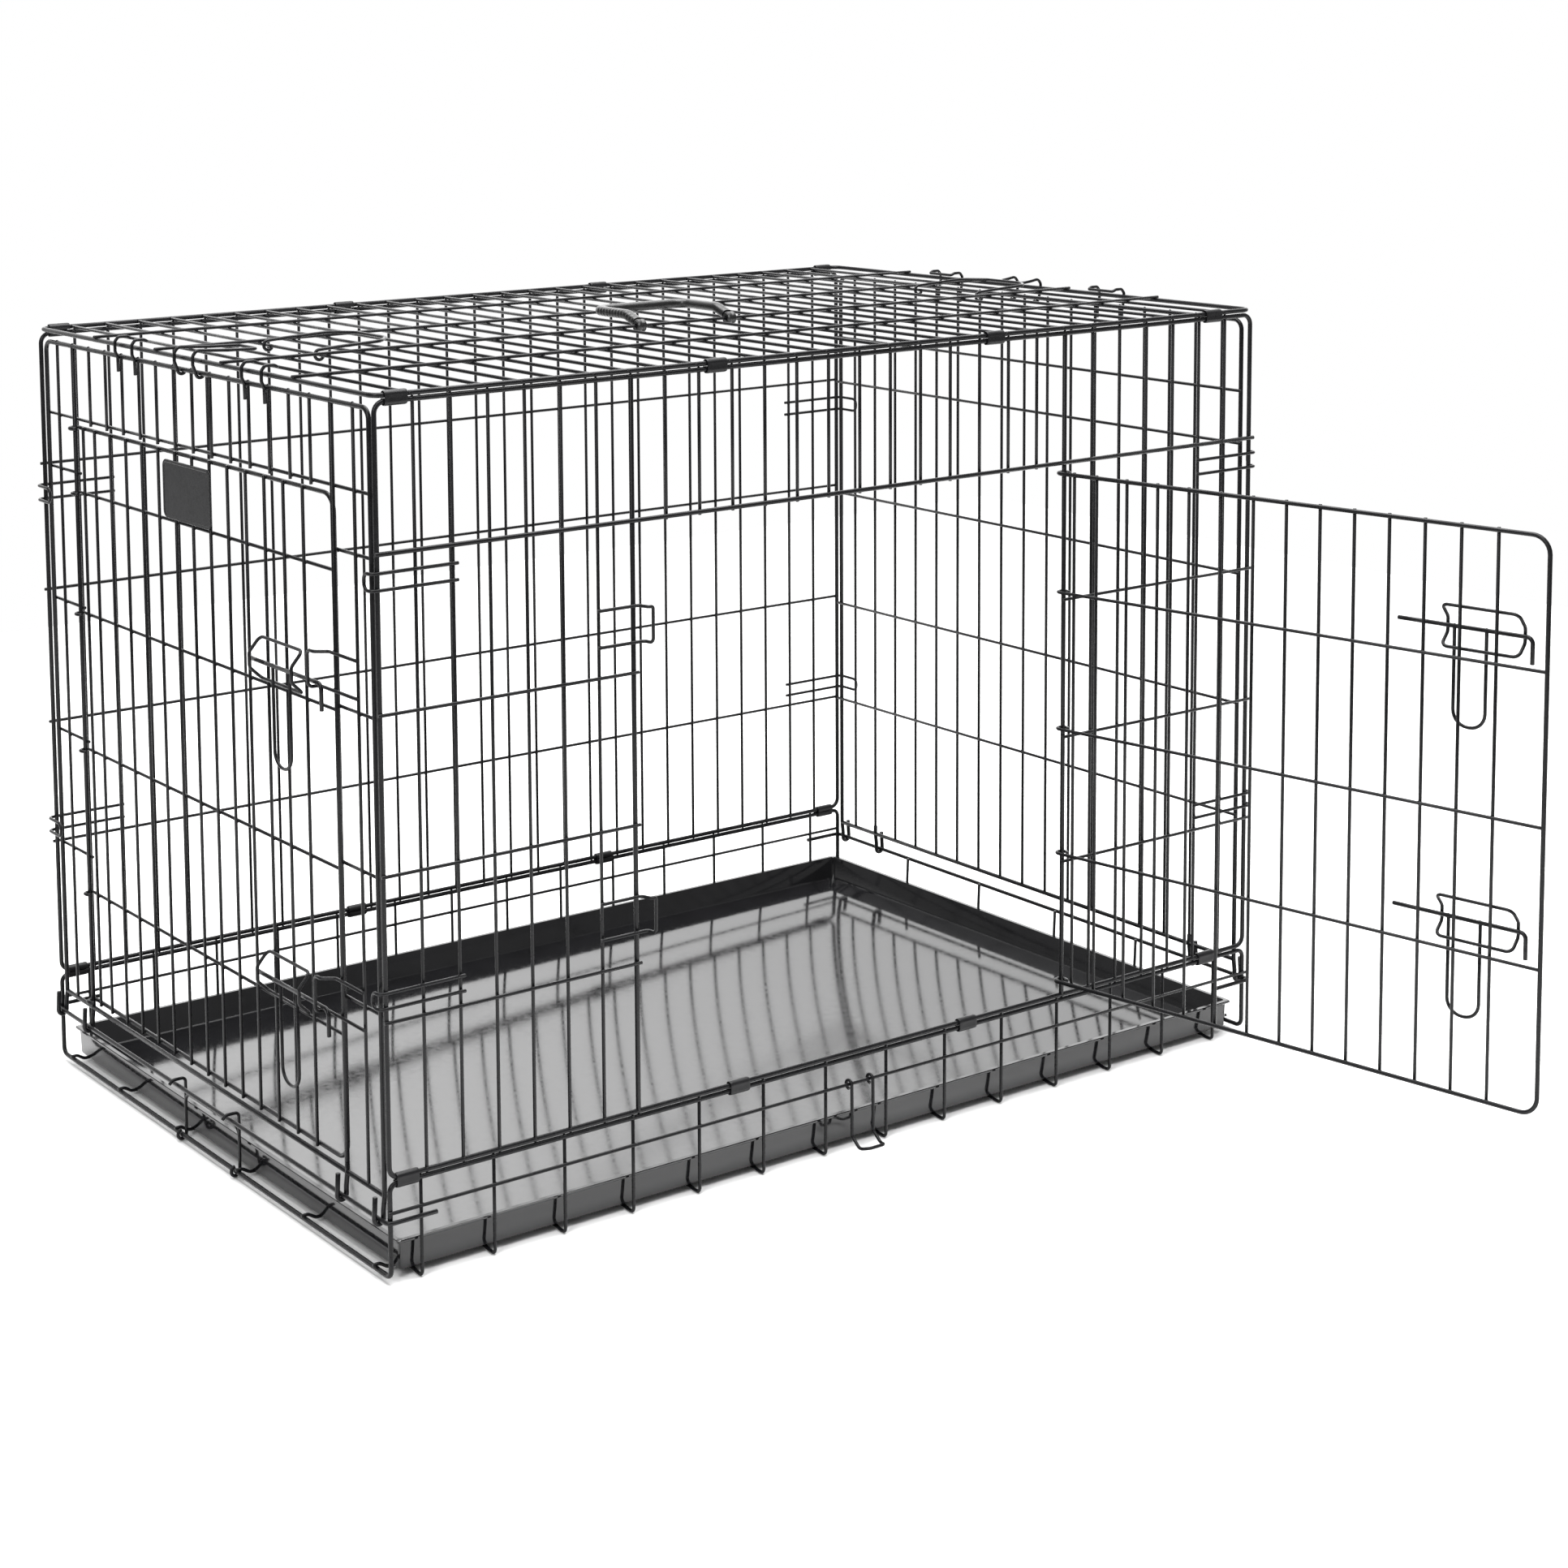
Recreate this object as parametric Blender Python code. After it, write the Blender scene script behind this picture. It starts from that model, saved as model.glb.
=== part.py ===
"""Folding two-door wire dog crate, as separate sub-parts in metres, +Z up."""
import math

import bmesh
import bpy
from mathutils import Matrix, Vector

# overall size, between frame wire centres
LENGTH = 1.045
WIDTH = 0.670
ORIGIN = Vector((0.5225, 0.0842, 0.0))
PITCH = LENGTH / 28
END_PITCH = WIDTH / 18
# wire radii: frame, cross bar and thin wire
FRAME_R = 0.0024
EDGE_R = 0.0022
THIN_R = 0.0019
# two crossing thin wires share this much, so the grid is one welded solid
WELD = 0.0031
STUB = 0.0035
# keeps a wire's ridge off the line of the one it ends in
OFFSET = 0.00015
# how far a wire end curls round the wire it hangs on
CURL_R = 0.0052
LATCH_CURL = 0.0047
# heights of the side panels
SIDE_BOTTOM = 0.0957
SIDE_TOP = 0.7648
OVER_DOOR = 0.637
SIDE_ROWS = (0.500, 0.361, 0.234)
REAR_OVER = 0.631
FRONT_LOOPS = ((0.621, 0.6065), (0.260, 0.2465))
REAR_LOOPS = ((0.609, 0.5945), (0.260, 0.2465))
FRONT_TURN = -0.0085
REAR_TURN = -0.028
ROOF_Z = 0.770
ROOF_ROWS = (0.134, 0.268, 0.402, 0.536)
ROOF_FIRST = 0.034
ROOF_WIRES = 27
# base pan frame
BASE_TOP = 0.0905
BASE_MID = 0.066
BASE_UPRIGHTS = [0.031 + 2 * PITCH * k for k in range(14)]
FLOOR_Z = 0.0019
END_WIRE_Z = 0.0070
POST_LOW = 0.0045
POST_GAP = 0.0030
FLOOR_ROWS = (0.025, 0.1518, 0.2786, 0.4054, 0.5322, 0.645)
BAR_Z = 0.058
BAR_OUT = 0.0050
# end panels
END_IN = 0.0011
END_Y = (0.0105, 0.6595)
END_BOTTOM = 0.0772
END_TOP = 0.7585
END_LINTEL = 0.685
END_ROWS = (0.630, 0.493, 0.355, 0.235)
END_STUB = 0.001
HOOK_Y = (0.0105, 2 * END_PITCH, 16 * END_PITCH, 0.6595)
HOOK_TOP = 0.0743
HOOK_R = 0.0046
ROOF_HOOKS = (5, 12)
# doors
SIDE_HINGE = 21 * PITCH
SIDE_LATCH = 7 * PITCH
SIDE_DOOR_OPEN = math.radians(100)
END_HINGE = 16 * END_PITCH
END_LATCH = 2 * END_PITCH
DOOR_WIDTH = 0.5135
DOOR_FIRST = 0.0405
DOOR_PITCH = 0.0353
DOOR_WIRES = 13
SIDE_DOOR_Z = (0.110, 0.242, 0.369, 0.507, 0.626)
END_DOOR_Z = (0.0835, 0.197, 0.346, 0.487, 0.610, 0.676)
# slide bolt latches, measured from the door hinge
BOLT_R = 0.0022
BOLT_N = 0.0094
GUIDE_N = 0.0024
GUIDE_HIGH = 0.020
GUIDE_LOW = 0.018
BOLT_UP = 0.025
BOLT_TAIL = 0.130
TAIL_PIECE = 0.030
GAP = 0.0003
HANDLE_DROP = 0.090
TIP_DROP = 0.024
SIDE_GUIDE = (0.4085, 0.4825)
SIDE_TIP = 0.492
SIDE_LEGS = (0.4175, 0.4485)
SIDE_KEEPER = 0.0114
END_GUIDE = (0.388, 0.466)
END_TIP = 0.5105
END_LEGS = (0.4235, 0.4545)
END_KEEPER = 0.0245
KEEPER_UP = 0.0120
SIDE_KEEPER_N = 0.0036
END_KEEPER_N = 0.0047
KEEPER_OUT = 0.0146
KEEPER_HALF = 0.0165
# tray
TRAY_GAP = 0.010
TRAY_SIDE_GAP = 0.005
TRAY_LOW = 0.0072
TRAY_HIGH = 0.0355
TRAY_WALL = 0.0016
TRAY_RIM = 0.0045
# sheet metal clips
CLIP_HALF = 0.011
CLIP_T = 0.0010
CLIP_IN = 0.0034

COLOURS = {
    "black_wire": (0.012, 0.012, 0.013, 1.0),
    "black_sheet": (0.02, 0.02, 0.021, 1.0),
    "black_tray": (0.015, 0.015, 0.016, 1.0),
    "black_grip": (0.018, 0.018, 0.018, 1.0),
}
SHINE = {"black_wire": 0.35, "black_sheet": 0.4, "black_tray": 0.15, "black_grip": 0.5}


def clear_scene():
    for item in list(bpy.data.objects):
        bpy.data.objects.remove(item, do_unlink=True)
    for mesh in list(bpy.data.meshes):
        bpy.data.meshes.remove(mesh)


def material_for(kind, name):
    mat = bpy.data.materials.new(f"{kind}_{name}")
    mat.use_nodes = True
    shader = mat.node_tree.nodes["Principled BSDF"]
    shader.inputs["Base Color"].default_value = COLOURS[kind]
    shader.inputs["Roughness"].default_value = SHINE[kind]
    return mat


class Shape:
    """Vertices and faces of one or more closed solids that don't touch."""

    def __init__(self):
        self.verts = []
        self.faces = []

    def add(self, verts, faces):
        start = len(self.verts)
        self.verts += verts
        self.faces += [[start + i for i in face] for face in faces]

    def turned(self, matrix):
        self.verts = [matrix @ v for v in self.verts]
        return self


def basis(direction, normal):
    a = (normal - direction * normal.dot(direction)).normalized()
    return a, direction.cross(a)


def slide_ring(ring, direction, point, plane):
    reach = direction.dot(plane)
    return [v + direction * ((point - v).dot(plane) / reach) for v in ring]


def sweep(shape, points, radius, normal, closed=False, sides=4):
    """A mitred wire along points, with a ridge that faces the normal."""
    pts = [Vector(p) for p in points]
    count = len(pts)
    legs = count if closed else count - 1
    dirs = [(pts[(i + 1) % count] - pts[i]).normalized() for i in range(legs)]
    a, b = basis(dirs[0], Vector(normal))
    turn = 2 * math.pi / sides
    ring = [
        pts[0] + (a * math.cos(k * turn) + b * math.sin(k * turn)) * radius
        for k in range(sides)
    ]
    if closed:
        ring = slide_ring(ring, dirs[0], pts[0], (dirs[-1] + dirs[0]).normalized())
    rings = [ring]
    for i in range(1, count):
        after = dirs[i] if i < legs else dirs[-1]
        plane = (dirs[i - 1] + after).normalized()
        ring = slide_ring(ring, dirs[i - 1], pts[i], plane)
        rings.append(ring)
    faces = []
    for i in range(legs):
        here = i * sides
        there = ((i + 1) % count) * sides
        for k in range(sides):
            m = (k + 1) % sides
            faces.append([here + k, here + m, there + m, there + k])
    if not closed:
        faces.append(list(reversed(range(sides))))
        faces.append([(count - 1) * sides + k for k in range(sides)])
    shape.add([v for r in rings for v in r], faces)


def prism(shape, profile, start, end, place):
    """A profile of (a, b) pairs pushed from start to end; place(a, b, s) gives a point."""
    count = len(profile)
    verts = [Vector(place(a, b, s)) for s in (start, end) for a, b in profile]
    faces = [list(reversed(range(count))), [count + k for k in range(count)]]
    for k in range(count):
        m = (k + 1) % count
        faces.append([k, m, count + m, count + k])
    shape.add(verts, faces)


def mesh_from(shape, name):
    mesh = bpy.data.meshes.new(name)
    mesh.from_pydata([tuple(v) for v in shape.verts], [], shape.faces)
    work = bmesh.new()
    work.from_mesh(mesh)
    bmesh.ops.recalc_face_normals(work, faces=work.faces)
    work.to_mesh(mesh)
    work.free()
    return mesh


def joined(first, second):
    """Exact union of two objects, left in the first one."""
    cut = first.modifiers.new("union", "BOOLEAN")
    cut.operation = "UNION"
    cut.solver = "EXACT"
    cut.object = second
    graph = bpy.context.evaluated_depsgraph_get()
    mesh = bpy.data.meshes.new_from_object(first.evaluated_get(graph))
    first.modifiers.remove(cut)
    first.data = mesh
    bpy.data.objects.remove(second, do_unlink=True)


def part(name, kind, shapes, pivot=(0, 0, 0)):
    """One named object from solids that weld together, with its origin on pivot."""
    made = []
    for shape in shapes:
        item = bpy.data.objects.new(name, mesh_from(shape, name))
        bpy.context.scene.collection.objects.link(item)
        made.append(item)
    whole = made[0]
    for other in made[1:]:
        joined(whole, other)
    centre = Vector(pivot)
    whole.name = name
    whole.data.name = name
    whole.data.transform(Matrix.Translation(-centre))
    whole.location = centre - ORIGIN
    whole.data.materials.clear()
    whole.data.materials.append(material_for(kind, name))
    return whole


def front(u, v, n):
    return Vector((u, -n, v))


def rear(u, v, n):
    return Vector((u, WIDTH + n, v))


def left(u, v, n):
    return Vector((END_IN - n, u, v))


def right(u, v, n):
    return Vector((LENGTH - END_IN + n, u, v))


def top(u, v, n):
    return Vector((u, v, ROOF_Z + n))


def outward(place):
    return place(0, 0, 1) - place(0, 0, 0)


def loop_points(low, high, corner):
    (u0, v0), (u1, v1) = low, high
    return [
        (u0 + corner, v0), (u1 - corner, v0), (u1, v0 + corner), (u1, v1 - corner),
        (u1 - corner, v1), (u0 + corner, v1), (u0, v1 - corner), (u0, v0 + corner),
    ]


def frame_loop(shape, place, low, high, corner=0.0055, radius=FRAME_R):
    points = [place(u, v, 0.0) for u, v in loop_points(low, high, corner)]
    sweep(shape, points, radius, outward(place), closed=True)


def upright(shape, place, u, low, high, n=OFFSET, radius=THIN_R):
    sweep(shape, [place(u, low, n), place(u, high, n)], radius, outward(place))


def level(shape, place, v, start, end, n=WELD, radius=THIN_R):
    sweep(shape, [place(start, v, n), place(end, v, n)], radius, outward(place))


def corner_loop(shape, place, sign, edge, high, low, turn):
    """A wire from the third upright, round the corner and back."""
    start = edge + sign * (2 * PITCH + STUB)
    out = edge - sign * 0.0085
    path = [(start, high, WELD), (out, high, WELD), (out, high, turn)]
    path += [(out, low, turn), (out, low, WELD), (start, low, WELD)]
    sweep(shape, [place(u, v, n) for u, v, n in path], THIN_R, outward(place))


def corner_loops(place, heights, turn):
    shape = Shape()
    for high, low in heights:
        corner_loop(shape, place, 1, 0.0, high, low, turn)
        corner_loop(shape, place, -1, LENGTH, high, low, turn)
    return shape


def keeper(shape, place, reach, post, far, z, low_n):
    """A staple bent over the bolt, which lies on its lower arm."""
    near, raised, tip = post + 0.25 * reach, post + 0.6 * reach, post + reach
    high, low = z + KEEPER_UP + KEEPER_HALF, z + KEEPER_UP - KEEPER_HALF
    path = [(far, high, low_n), (near, high, low_n), (raised, high, KEEPER_OUT)]
    path += [(tip, high, KEEPER_OUT), (tip, low, KEEPER_OUT)]
    path += [(tip - 0.0015, low, low_n), (far, low, low_n)]
    sweep(shape, [place(u, v, n) for u, v, n in path], THIN_R, outward(place))


def front_panel():
    frame, bars, rows, keepers = Shape(), Shape(), Shape(), Shape()
    frame_loop(frame, front, (0.0, SIDE_BOTTOM), (LENGTH, SIDE_TOP))
    for k in range(1, 28):
        in_door = SIDE_LATCH + 0.01 < k * PITCH < SIDE_HINGE - 0.01
        low = OVER_DOOR - STUB if in_door else SIDE_BOTTOM
        wide = FRAME_R - 0.0001 if k in (7, 21) else THIN_R
        upright(bars, front, k * PITCH, low, SIDE_TOP, radius=wide)
    level(rows, front, OVER_DOOR, -STUB, LENGTH + STUB, radius=EDGE_R)
    for z in SIDE_ROWS:
        level(rows, front, z, -STUB, SIDE_LATCH + STUB)
        level(rows, front, z, SIDE_HINGE - STUB, LENGTH + STUB)
    for z in (SIDE_DOOR_Z[3], SIDE_DOOR_Z[1]):
        far = SIDE_LATCH - PITCH - STUB
        keeper(keepers, front, SIDE_KEEPER, SIDE_LATCH, far, z + BOLT_UP, SIDE_KEEPER_N)
    loops = corner_loops(front, FRONT_LOOPS, FRONT_TURN)
    return part("front_panel", "black_wire", [frame, bars, rows, loops, keepers])


def rear_panel():
    frame, bars, rows = Shape(), Shape(), Shape()
    frame_loop(frame, rear, (0.0, SIDE_BOTTOM), (LENGTH, SIDE_TOP))
    for k in range(1, 28):
        upright(bars, rear, k * PITCH, SIDE_BOTTOM, SIDE_TOP)
    for z in (REAR_OVER,) + SIDE_ROWS:
        level(rows, rear, z, -STUB, LENGTH + STUB)
    loops = corner_loops(rear, REAR_LOOPS, REAR_TURN)
    return part("rear_panel", "black_wire", [frame, bars, rows, loops])


def roof_panel():
    frame, bars, rows = Shape(), Shape(), Shape()
    frame_loop(frame, top, (0.0, 0.0), (LENGTH, WIDTH), corner=0.009)
    for k in range(ROOF_WIRES):
        upright(bars, top, ROOF_FIRST + k * PITCH, 0.0, WIDTH)
    for y in ROOF_ROWS:
        level(rows, top, y, -STUB, LENGTH + STUB)
    return part("roof_panel", "black_wire", [frame, bars, rows])


def curl(centre, radius, start, turn, steps):
    """Points (a, b) round a centre, from one angle through a signed turn, in degrees."""
    out = []
    for i in range(steps + 1):
        angle = math.radians(start + turn * i / steps)
        out.append((centre[0] + radius * math.cos(angle), centre[1] + radius * math.sin(angle)))
    return out


def base_side(name, y, sign):
    """One long side of the base: its rim, end posts, uprights and middle wire."""
    rim, bars, mid = Shape(), Shape(), Shape()
    out = (0, -sign, 0)
    sweep(rim, [(-0.0012, y, BASE_TOP), (LENGTH + 0.0012, y, BASE_TOP)], FRAME_R, out)
    for x in (OFFSET, LENGTH - OFFSET):
        sweep(bars, [(x, y + sign * OFFSET, BASE_TOP - OFFSET), (x, y + sign * OFFSET, POST_LOW)],
              FRAME_R - 0.0001, out)
    for x in BASE_UPRIGHTS:
        sweep(bars, [(x, y + sign * OFFSET, BASE_TOP), (x, y + sign * OFFSET, 0.0)], THIN_R, out)
    n = y - sign * WELD
    sweep(mid, [(-STUB, n, BASE_MID), (LENGTH + STUB, n, BASE_MID)], THIN_R, out)
    return part(name, "black_wire", [rim, bars, mid])


def base_floor():
    """Cross wires and lengthwise wires that the tray lies on, and the two end floor wires."""
    wires, rows = Shape(), Shape()
    for x in (OFFSET, LENGTH - OFFSET):
        sweep(wires, [(x, POST_GAP, END_WIRE_Z), (x, WIDTH - POST_GAP, END_WIRE_Z)], FRAME_R, (0, 0, 1))
    for x in BASE_UPRIGHTS:
        sweep(wires, [(x, POST_GAP, FLOOR_Z), (x, WIDTH - POST_GAP, FLOOR_Z)], THIN_R, (0, 0, 1))
    up = FLOOR_Z + WELD
    for y in FLOOR_ROWS:
        sweep(rows, [(-0.001, y, up), (LENGTH + 0.001, y, up)], THIN_R, (0, 0, 1))
    return part("base_floor", "black_wire", [wires, rows])


def end_bar(name, x, sign):
    """Cross bar that an end panel hooks on, its ends turned along the sides."""
    shape = Shape()
    far = x + sign * 0.044
    out = x - sign * BAR_OUT
    y0, y1 = -BAR_OUT, WIDTH + BAR_OUT
    path = [(far, y0, BAR_Z), (out + sign * 0.003, y0, BAR_Z), (out, y0 + 0.003, BAR_Z)]
    path += [(out, y1 - 0.003, BAR_Z), (out + sign * 0.003, y1, BAR_Z), (far, y1, BAR_Z)]
    sweep(shape, path, EDGE_R, (0, 0, 1))
    return part(name, "black_wire", [shape])


def bar_hook(name, place, y, pivot):
    """Open hook under the end panel, that turns on the base cross bar."""
    shape = Shape()
    centre = (END_IN + BAR_OUT, BAR_Z)
    arc = curl(centre, HOOK_R, 180, 180, 4)
    path = [(arc[0][0], HOOK_TOP)] + arc + [(arc[-1][0] + 0.0035, arc[-1][1] + 0.017)]
    sweep(shape, [place(y, v, n) for n, v in path], THIN_R, (0, 1, 0))
    return part(name, "black_wire", [shape], pivot)


def roof_hooks(place):
    """Pairs of uprights carried up and bent inward over the roof's end wire."""
    shape = Shape()
    half = [(0.0036, 0.7480), (0.0036, 0.7575), (0.0062, 0.7640), (0.0062, 0.7735)]
    half += [(0.0025, 0.7775), (-0.0060, 0.7775), (-0.0105, 0.7758)]
    for k in ROOF_HOOKS:
        near, far = k * END_PITCH, (k + 1) * END_PITCH
        path = [(near, v, n) for n, v in half] + [(far, v, n) for n, v in reversed(half)]
        sweep(shape, [place(u, v, n) for u, v, n in path], THIN_R, (0, 1, 0))
    return shape


def end_keeper(label, z):
    shape = Shape()
    keeper(shape, left, END_KEEPER, END_LATCH, END_PITCH - STUB, z + BOLT_UP, END_KEEPER_N)
    return part(f"end_{label}_keeper", "black_wire", [shape], (-BAR_OUT, WIDTH / 2, BAR_Z))


def end_frame(side, place, has_door):
    """An end panel with its hooks, and the keepers beside its door."""
    frame, bars, rows = Shape(), Shape(), Shape()
    y0, y1 = END_Y[0] - END_STUB, END_Y[1] + END_STUB
    frame_loop(frame, place, (END_Y[0], END_BOTTOM), (END_Y[1], END_TOP), corner=0.010)
    for k in range(1, 18):
        in_door = has_door and 2 < k < 16
        low = END_LINTEL - STUB if in_door else END_BOTTOM
        wide = FRAME_R - 0.0001 if has_door and k in (2, 16) else THIN_R
        upright(bars, place, k * END_PITCH, low, END_TOP, radius=wide)
    level(rows, place, END_LINTEL, y0, y1, n=-WELD)
    for z in END_ROWS:
        if has_door:
            level(rows, place, z, y0, END_LATCH + STUB, n=-WELD)
            level(rows, place, z, END_HINGE - STUB, y1, n=-WELD)
        else:
            level(rows, place, z, y0, y1, n=-WELD)
    x = -BAR_OUT if place is left else LENGTH + BAR_OUT
    pivot = (x, WIDTH / 2, BAR_Z)
    part(f"{side}_end_panel", "black_wire", [frame, bars, rows, roof_hooks(place)], pivot)
    for k, y in enumerate(HOOK_Y):
        bar_hook(f"{side}_end_hook_{k + 1}", place, y, pivot)
    if has_door:
        end_keeper("upper", END_DOOR_Z[3])
        end_keeper("lower", END_DOOR_Z[1])


def door_curl(z):
    return [(u, z, n) for u, n in curl((0.0, 0.0), CURL_R, 20, 250, 6)]


def door_frame(rows, place):
    """Edge wire with its two ends curled round the hinge post, and the grid."""
    edge, bars, levels = Shape(), Shape(), Shape()
    low, high, wide = rows[0], rows[-1], DOOR_WIDTH
    path = door_curl(high) + [(wide - 0.014, high, -CURL_R), (wide, high - 0.014, -CURL_R)]
    path += [(wide, low + 0.014, -CURL_R), (wide - 0.014, low, -CURL_R)]
    path += list(reversed(door_curl(low)))
    sweep(edge, [place(u, v, n) for u, v, n in path], EDGE_R, (0, 0, 1))
    for z in rows[1:-1]:
        path = door_curl(z) + [(wide, z, -CURL_R - OFFSET)]
        sweep(levels, [place(u, v, n) for u, v, n in path], THIN_R, (0, 0, 1))
    uprights = [0.014] + [DOOR_FIRST + k * DOOR_PITCH for k in range(DOOR_WIRES)]
    for u in uprights:
        upright(bars, place, u, low - STUB, high + STUB, n=WELD - CURL_R)
    return [edge, levels, bars]


def side_door_place(u, v, n):
    c, s = math.cos(SIDE_DOOR_OPEN), math.sin(SIDE_DOOR_OPEN)
    return Vector((SIDE_HINGE - u * c + n * s, -u * s - n * c, v))


def end_door_place(u, v, n):
    return left(END_HINGE - u, v, n)


def guide(name, place, span, z, post):
    """A closed wire loop whose sides bow out over the bolt."""
    shape = Shape()
    u0, u1 = span
    over = BOLT_N + BOLT_R + THIN_R + 0.0008
    low, high = z - GUIDE_LOW, z + GUIDE_HIGH
    path = [(u0, low, GUIDE_N), (u1, low, GUIDE_N), (u1, z - 0.007, over)]
    path += [(u1, z + 0.007, over), (u1, high, GUIDE_N), (u0, high, GUIDE_N)]
    path += [(u0, z + 0.007, over), (u0, z - 0.007, over)]
    sweep(shape, [place(u, v, n) for u, v, n in path], THIN_R, outward(place), closed=True)
    return part(name, "black_wire", [shape], post)


def bolt(name, place, tip, legs, z):
    """The turning length of the bolt, with its bent tip and hanging pull."""
    rod, pull = Shape(), Shape()
    tail = tip - BOLT_TAIL + TAIL_PIECE + GAP
    path = [(tail, z), (tip - 0.003, z), (tip, z - 0.003), (tip, z - TIP_DROP)]
    sweep(rod, [place(u, v, BOLT_N) for u, v in path], BOLT_R, outward(place))
    low = z - HANDLE_DROP
    u0, u1 = legs
    path = [(u0, z), (u0, low + 0.010), (u0 + 0.008, low), (u1 - 0.008, low)]
    path += [(u1, low + 0.010), (u1, z)]
    sweep(pull, [place(u, v, BOLT_N) for u, v in path], THIN_R, outward(place))
    return part(name, "black_wire", [rod, pull], place(tail, z, BOLT_N))


def bolt_tail(name, place, tip, z):
    """The sliding length of the bolt behind the turning one."""
    rod = Shape()
    start = tip - BOLT_TAIL
    ends = [place(start, z, BOLT_N), place(start + TAIL_PIECE, z, BOLT_N)]
    sweep(rod, ends, BOLT_R, outward(place))
    return part(name, "black_wire", [rod], ends[0])


def latches(prefix, place, rows, span, tip, legs, post):
    for label, row in (("upper", rows[3]), ("lower", rows[1])):
        z = row + BOLT_UP
        guide(f"{prefix}_{label}_guide", place, span, z, post)
        bolt(f"{prefix}_{label}_bolt", place, tip, legs, z)
        bolt_tail(f"{prefix}_{label}_bolt_tail", place, tip, z)


def label_plate():
    shape = Shape()
    low, high = (0.1985, 0.6140), (0.2955, 0.6700)
    profile = loop_points(low, high, 0.006)
    prism(shape, profile, 0.0005, 0.0020, lambda a, b, s: end_door_place(a, b, s))
    return part("label_plate", "black_sheet", [shape], (END_IN, END_HINGE, END_BOTTOM))


def roof_latch(name, place, reach):
    """Catch that turns on the end panel's top wire, its tongue lying on the roof."""
    shape = Shape()
    y0, y1 = 0.317, 0.3545
    ring = [(-n, v) for n, v in curl((0.0, END_TOP), LATCH_CURL, -40, -140, 5)]
    path = ring + [(0.0072, 0.7660), (0.0072, 0.7745), (0.0030, 0.7795)]
    path += [(-reach * 0.5, 0.7775), (-reach, 0.7765)]
    both = [(y0, v, n) for n, v in path] + [(y1, v, n) for n, v in reversed(path)]
    sweep(shape, [place(u, v, n) for u, v, n in both], THIN_R, (0, 1, 0))
    return part(name, "black_wire", [shape], place(WIDTH / 2, END_TOP, 0.0))


def roof_bail(name, x, reach, rise):
    """A bent bail with both ends curled round a roof cross wire."""
    shape = Shape()
    y0, y1 = 0.285, 0.385
    ring = list(reversed(curl((x, ROOF_Z), 0.0047, 90, 270, 6)))
    path = ring + [(x + 0.020, ROOF_Z + 0.0060), (x + reach - 0.018, ROOF_Z + rise)]
    both = [(a, y0, b) for a, b in path] + [(x + reach, y0 + 0.022, ROOF_Z + rise)]
    both += [(x + reach, y1 - 0.022, ROOF_Z + rise)] + [(a, y1, b) for a, b in reversed(path)]
    sweep(shape, both, THIN_R, (0, 1, 0))
    return part(name, "black_wire", [shape], (x, WIDTH / 2, ROOF_Z))


def roof_handle():
    """Folding grip with an eye at each end round a lengthwise roof wire."""
    y, z = ROOF_ROWS[1], ROOF_Z + WELD
    grip, eyes = Shape(), Shape()
    x0, x1 = 0.463, 0.575
    path = [(x0, y + 0.0040, z + 0.0035), (x0, y + 0.022, z + 0.0095)]
    path += [(x0, y + 0.064, z + 0.0095), (x0 + 0.012, y + 0.078, z + 0.0095)]
    path += [(x1 - 0.012, y + 0.078, z + 0.0095), (x1, y + 0.064, z + 0.0095)]
    path += [(x1, y + 0.022, z + 0.0095), (x1, y + 0.0040, z + 0.0035)]
    sweep(grip, path, 0.0060, (0, 0, 1), sides=8)
    for x in (x0, x1):
        outer = curl((y, z), 0.0062, -90, 330, 8)
        inner = list(reversed(curl((y, z), 0.0028, -90, 330, 8)))
        prism(eyes, outer + inner, x - 0.0045, x + 0.0045, lambda a, b, s: (s, a, b))
    return part("roof_handle", "black_grip", [eyes, grip], (0.519, y, z))


def wrap_profile(low, high):
    """A sheet strip bent round one wire or two, with a seam at the inner side."""
    a, t = CLIP_IN, CLIP_T
    mid = (low + high) / 2
    inner = [(0.0, high + a), (-a, high), (-a, low), (0.0, low - a), (a, low), (a, mid - 0.0004)]
    b = a + t
    outer = [(b, mid - 0.0004), (b, low), (0.0, low - b), (-b, low), (-b, high), (0.0, high + b)]
    seam = [(b, high), (b, mid + 0.0004), (a, mid + 0.0004), (a, high)]
    return outer + seam + inner


def clip(name, x, rear_side, low, high):
    shape = Shape()
    sign = -1 if rear_side else 1
    y = WIDTH if rear_side else 0.0
    profile = wrap_profile(low, high)
    prism(shape, profile, x - CLIP_HALF, x + CLIP_HALF, lambda a, b, s: (s, y + sign * a, b))
    return part(name, "black_sheet", [shape], (x, y, low))


def clips():
    rows = {
        "top_front": (0, SIDE_TOP, ROOF_Z, (0.020, 9.5 * PITCH, 18.5 * PITCH, 26.5 * PITCH)),
        "top_rear": (1, SIDE_TOP, ROOF_Z, (0.020, 9.5 * PITCH, 18.5 * PITCH, 1.023)),
        "bottom_front": (0, BASE_TOP, SIDE_BOTTOM, (0.0170, 0.375, 0.656, 0.9875)),
        "bottom_rear": (1, BASE_TOP, SIDE_BOTTOM, (0.0170, 9.5 * PITCH, 0.689, 1.023)),
    }
    for label, (rear_side, low, high, places) in rows.items():
        for k, x in enumerate(places):
            clip(f"clip_{label}_{k + 1}", x, rear_side, low, high)


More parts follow.
